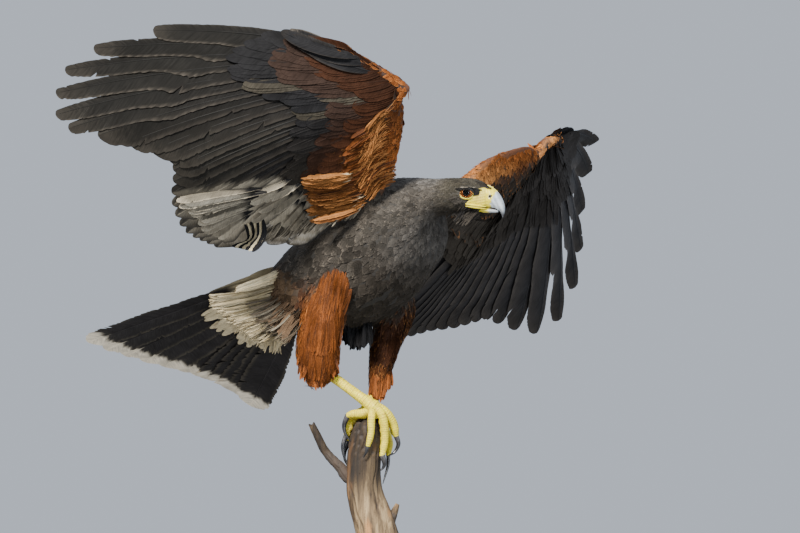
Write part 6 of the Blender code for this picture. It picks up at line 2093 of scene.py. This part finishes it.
def make_stand(looks):
    """The flat round base and its short rod."""
    base = rounded(0, BASE_HEIGHT, BASE_RADIUS, 2.0)
    base += [(BASE_HEIGHT, BASE_RADIUS * 0.9), (BASE_HEIGHT - 0.4, BASE_RADIUS * 0.89),
             (BASE_HEIGHT - 0.4, BASE_RADIUS * 0.885), (BASE_HEIGHT, BASE_RADIUS * 0.875),
             (BASE_HEIGHT, 14)]
    ride(loft_piece("base_disc", turned_rings((0, 0), base, 160), looks["stand"]), "stand",
         "stand_base")
    foot = SNAG[0][0]
    rod = [(BASE_HEIGHT, ROD_RADIUS + 3.4), (BASE_HEIGHT + 1.4, ROD_RADIUS + 3.2),
           (BASE_HEIGHT + 2.4, ROD_RADIUS + 0.6), (BASE_HEIGHT + 3.0, ROD_RADIUS),
           (PERCH_FOOT - 1.0, ROD_RADIUS), (PERCH_FOOT + 3.0, ROD_RADIUS - 0.4)]
    ride(loft_piece("rod_bar", turned_rings(foot, rod, 48), looks["steel"]), "stand", "stand_rod")


def make_looks():
    """The materials, each by the name that the pieces ask for."""
    looks = {
        "coat": feather_paint("contour_feathers", 0.75, 0.55, 0.4, 8.0,
                              {"Specular IOR Level": 0.05}),
        "coverts": feather_paint("wing_coverts", 0.68, 0.34, 0.3, 12.0,
                                 {"Specular IOR Level": 0.05}),
        "flight": feather_paint("flight_vanes", 0.60, 0.30, 0.25, 14.0,
                                {"Specular IOR Level": 0.06}),
        "down": feather_paint("pale_down", 0.8, 0.22, 0.3, 10.0, {"Specular IOR Level": 0.1}),
    }
    skin = Paint("skin_under_feathers", 0.85)
    mottle = skin.noise(skin.place(), 700.0, 4.0, 0.6)
    skin.shade_tint(skin.rise(mottle, 0.3, 0.7, 0.6, 1.2))
    skin.bump(mottle, 0.6, 0.5)
    looks["skin"] = skin.made

    bare = Paint("bare_skin", 0.42, {"Subsurface Weight": 0.12, "Subsurface Scale": 0.002,
                                     "Subsurface Radius": (1.0, 0.5, 0.2)})
    grain = bare.noise(bare.place(), 900.0, 4.0, 0.6)
    creases = bare.cells(bare.place((1, 1, 1.6)), 1300.0, "DISTANCE_TO_EDGE")
    bare.shade_tint(bare.math("MULTIPLY", bare.rise(grain, 0.3, 0.7, 0.78, 1.1),
                              bare.rise(creases, 0.0, 0.14, 0.8, 1.0)))
    bare.rough(bare.rise(grain, 0.3, 0.7, 0.34, 0.55))
    bare.bump(bare.math("ADD", creases, grain), 0.5, 0.25)
    looks["bare"] = bare.made

    scale = Paint("leg_scales", 0.45, {"Subsurface Weight": 0.08, "Subsurface Scale": 0.002})
    small = scale.cells(scale.place(), 620.0, "DISTANCE_TO_EDGE")
    dirt = scale.noise(scale.place(), 160.0, 4.0, 0.6)
    scale.shade_tint(scale.math("MULTIPLY", scale.rise(small, 0.0, 0.10, 0.72, 1.0),
                                scale.rise(dirt, 0.3, 0.75, 1.12, 0.82)))
    scale.rough(scale.rise(dirt, 0.3, 0.7, 0.38, 0.6))
    scale.bump(scale.rise(small, 0.0, 0.2), 0.7, 0.3)
    looks["scale"] = scale.made

    horn = Paint("claw_horn", 0.22, {"Coat Weight": 0.4, "Coat Roughness": 0.15})
    lines = horn.noise(horn.place((1, 1, 0.3)), 800.0, 3.0)
    horn.shade_tint(horn.rise(lines, 0.3, 0.7, 0.7, 1.5))
    horn.rough(horn.rise(lines, 0.3, 0.7, 0.16, 0.38))
    horn.bump(lines, 0.25, 0.2)
    looks["horn"] = horn.made

    bill = Paint("bill_horn", 0.32, {"Coat Weight": 0.25, "Coat Roughness": 0.2})
    flow = bill.noise(bill.place((0.6, 0.6, 1.6)), 420.0, 4.0, 0.55)
    specks = bill.noise(bill.place(), 1500.0, 2.0)
    bill.shade_tint(bill.math("MULTIPLY", bill.rise(flow, 0.3, 0.7, 0.84, 1.12),
                              bill.rise(specks, 0.3, 0.7, 0.93, 1.05)))
    bill.rough(bill.rise(flow, 0.3, 0.7, 0.24, 0.42))
    bill.bump(flow, 0.2, 0.25)
    looks["bill"] = bill.made

    eye = Paint("iris_and_pupil", 0.35, {"Specular IOR Level": 0.08})
    fibres = eye.noise(eye.place(), 2600.0, 3.0)
    eye.shade_tint(eye.rise(fibres, 0.3, 0.7, 0.75, 1.25))
    looks["eye"] = eye.made

    cornea = Paint("clear_cornea", 0.0, {"Transmission Weight": 1.0, "IOR": 1.12,
                                         "Base Color": (1.0, 1.0, 1.0, 1.0)})
    haze = cornea.noise(cornea.place(), 500.0)
    cornea.rough(cornea.rise(haze, 0.3, 0.7, 0.0, 0.03))
    looks["cornea"] = cornea.made

    wood = Paint("weathered_wood", 0.82)
    parts = wood.add("ShaderNodeSeparateColor",
                     {"Color": wood.attribute("Wear").outputs["Color"]}).outputs
    grain = wood.noise(wood.place((1, 1, 0.07)), 260.0, 6.0, 0.62, 0.4)
    broad = wood.noise(wood.place((1, 1, 0.25)), 38.0, 3.0)
    pores = wood.cells(wood.place((1, 1, 0.55)), 420.0)
    base = wood.ramp(grain, ((0.30, (0.035, 0.022, 0.013)), (0.50, (0.20, 0.135, 0.07)),
                             (0.72, (0.46, 0.34, 0.19))))
    base = wood.mix(wood.rise(broad, 0.40, 0.62), base, (0.30, 0.26, 0.22), "MULTIPLY")
    warm = wood.rise(wood.noise(wood.place((1, 1, 0.3)), 55.0, 2.0), 0.58, 0.7, 0.0, 0.6)
    base = wood.mix(warm, base, (0.50, 0.25, 0.09))
    height = wood.add("ShaderNodeSeparateXYZ", {"Vector": wood.place()}).outputs["Z"]
    # From 135 to 185 mm up the wood turns darker and stays so above: painted shade under the bird. The
    # next lines paint cracks and pits near-black, partly their own colour and partly painted shade in
    # the hollows, and darken the bark of twig and stub.
    base = wood.mix(wood.rise(height, 0.135, 0.185), base, (0.26, 0.24, 0.21), "MULTIPLY")
    base = wood.mix(wood.math("MULTIPLY", parts[1], 0.86), base, (0.045, 0.035, 0.03))
    base = wood.mix(parts[0], base, (0.035, 0.022, 0.014))
    wood.colour(base)
    rough = wood.math("SUBTRACT", grain, wood.math("MULTIPLY", wood.rise(pores, 0.25, 0.0), 0.5))
    wood.bump(rough, 0.9, 1.0)
    looks["wood"] = wood.made

    stand = Paint("satin_black", 0.38)
    dust = stand.noise(stand.place(), 240.0, 5.0, 0.65)
    stand.colour(stand.ramp(dust, ((0.3, (0.018, 0.018, 0.019)), (0.75, (0.035, 0.034, 0.033)))))
    stand.rough(stand.rise(dust, 0.3, 0.7, 0.30, 0.48))
    stand.bump(dust, 0.12, 0.2)
    looks["stand"] = stand.made

    steel = Paint("brushed_steel", 0.3, {"Metallic": 1.0})
    brush = steel.noise(steel.place((0.5, 0.5, 14.0)), 300.0, 3.0)
    steel.colour(steel.ramp(brush, ((0.3, (0.26, 0.26, 0.27)), (0.7, (0.42, 0.42, 0.42)))))
    steel.rough(steel.rise(brush, 0.3, 0.7, 0.24, 0.42))
    looks["steel"] = steel.made
    return looks


def make_stage():
    """A pale floor, an even pale world and large soft lights."""
    floor_look = Paint("pale_floor", 0.85)
    grain = floor_look.noise(floor_look.place(), 6.0, 4.0)
    floor_look.colour(floor_look.ramp(grain, ((0.3, (0.23, 0.235, 0.24)), (0.7, (0.25, 0.255, 0.26)))))
    rings = turned_rings((0, 0), [(-4, 3300), (-0.02, 3300), (-0.02, 1500), (-0.02, 300)], 96)
    floor = loft_piece("floor", rings, floor_look.made)
    world = bpy.data.worlds.new("studio")
    bpy.context.scene.world = world
    world.use_nodes = True
    world.node_tree.nodes["Background"].inputs["Color"].default_value = (0.70, 0.77, 0.88, 1.0)
    world.node_tree.nodes["Background"].inputs["Strength"].default_value = 0.75
    aim = Vector((0.0, 0.0, 0.42))
    for name, place, size, power, colour in (
            ("key", (-1.6, -3.7, 3.3), 1.0, 780, (1.0, 0.95, 0.86)),
            ("fill", (2.6, -3.4, 0.9), 2.6, 120, (0.88, 0.94, 1.0)),
            ("rim", (1.0, 3.2, 2.4), 1.8, 25, (1.0, 0.98, 0.95))):
        light = bpy.data.lights.new(name, "AREA")
        light.size = size
        light.energy = power
        light.color = colour
        made = bpy.data.objects.new(name, light)
        made.location = place
        made.rotation_euler = (aim - Vector(place)).to_track_quat("-Z", "Y").to_euler()
        bpy.context.scene.collection.objects.link(made)


def make_camera():
    camera = bpy.data.cameras.new("camera")
    camera.lens = LENS
    camera.sensor_width = SENSOR
    camera.clip_end = 100
    made = bpy.data.objects.new("camera", camera)
    made.location = tuple(CAMERA_PLACE * MM)
    made.rotation_euler = (math.radians(90), 0, 0)
    bpy.context.scene.collection.objects.link(made)
    bpy.context.scene.camera = made


def main():
    """Builds the bird, its perch and stand, and what the camera needs."""
    looks = make_looks()
    right = Wing(RIGHT_WING, RIGHT_AIMS, 1, RIGHT_OVERLAP, RIGHT_PATAGIUM, RIGHT_TWIST)
    left = Wing(LEFT_WING, LEFT_AIMS, -1, LEFT_OVERLAP, LEFT_PATAGIUM, LEFT_TWIST)
    tail = Tail()
    field = Field()
    body_field(field)
    thigh_field(field, RIGHT_THIGH, True)
    thigh_field(field, LEFT_THIGH, False)
    wing_field(field, right)
    wing_field(field, left)
    tail_field(field, tail)
    field.close()
    skin = make_skin((right, left), tail)
    finish_skin(skin, field, looks)
    ride(skin, "plumage", "head", "neck", "torso", "rump", "thigh_right", "thigh_left")
    grow_coats(skin, field, looks)
    near_wing = dress_wing(right, "right", RIGHT_ALULA, looks)
    dress_wing(left, "left", LEFT_ALULA, looks)
    dress_tail(tail, looks)
    dress_armpit([skin, *near_wing], looks)
    dress_body([skin], looks)
    make_eyes(looks)
    make_bill(looks)
    dress_face([skin] + [bpy.data.objects[name] for name in ("lore_right", "lid_right",
                                                             "bill_upper_shell")], looks)
    make_leg("right", RIGHT_SHANK, RIGHT_TOES, RIGHT_CLAWS, looks)
    make_leg("left", LEFT_SHANK, LEFT_TOES, LEFT_CLAWS, looks)
    make_snag(looks)
    make_stand(looks)
    make_stage()
    make_camera()


main()
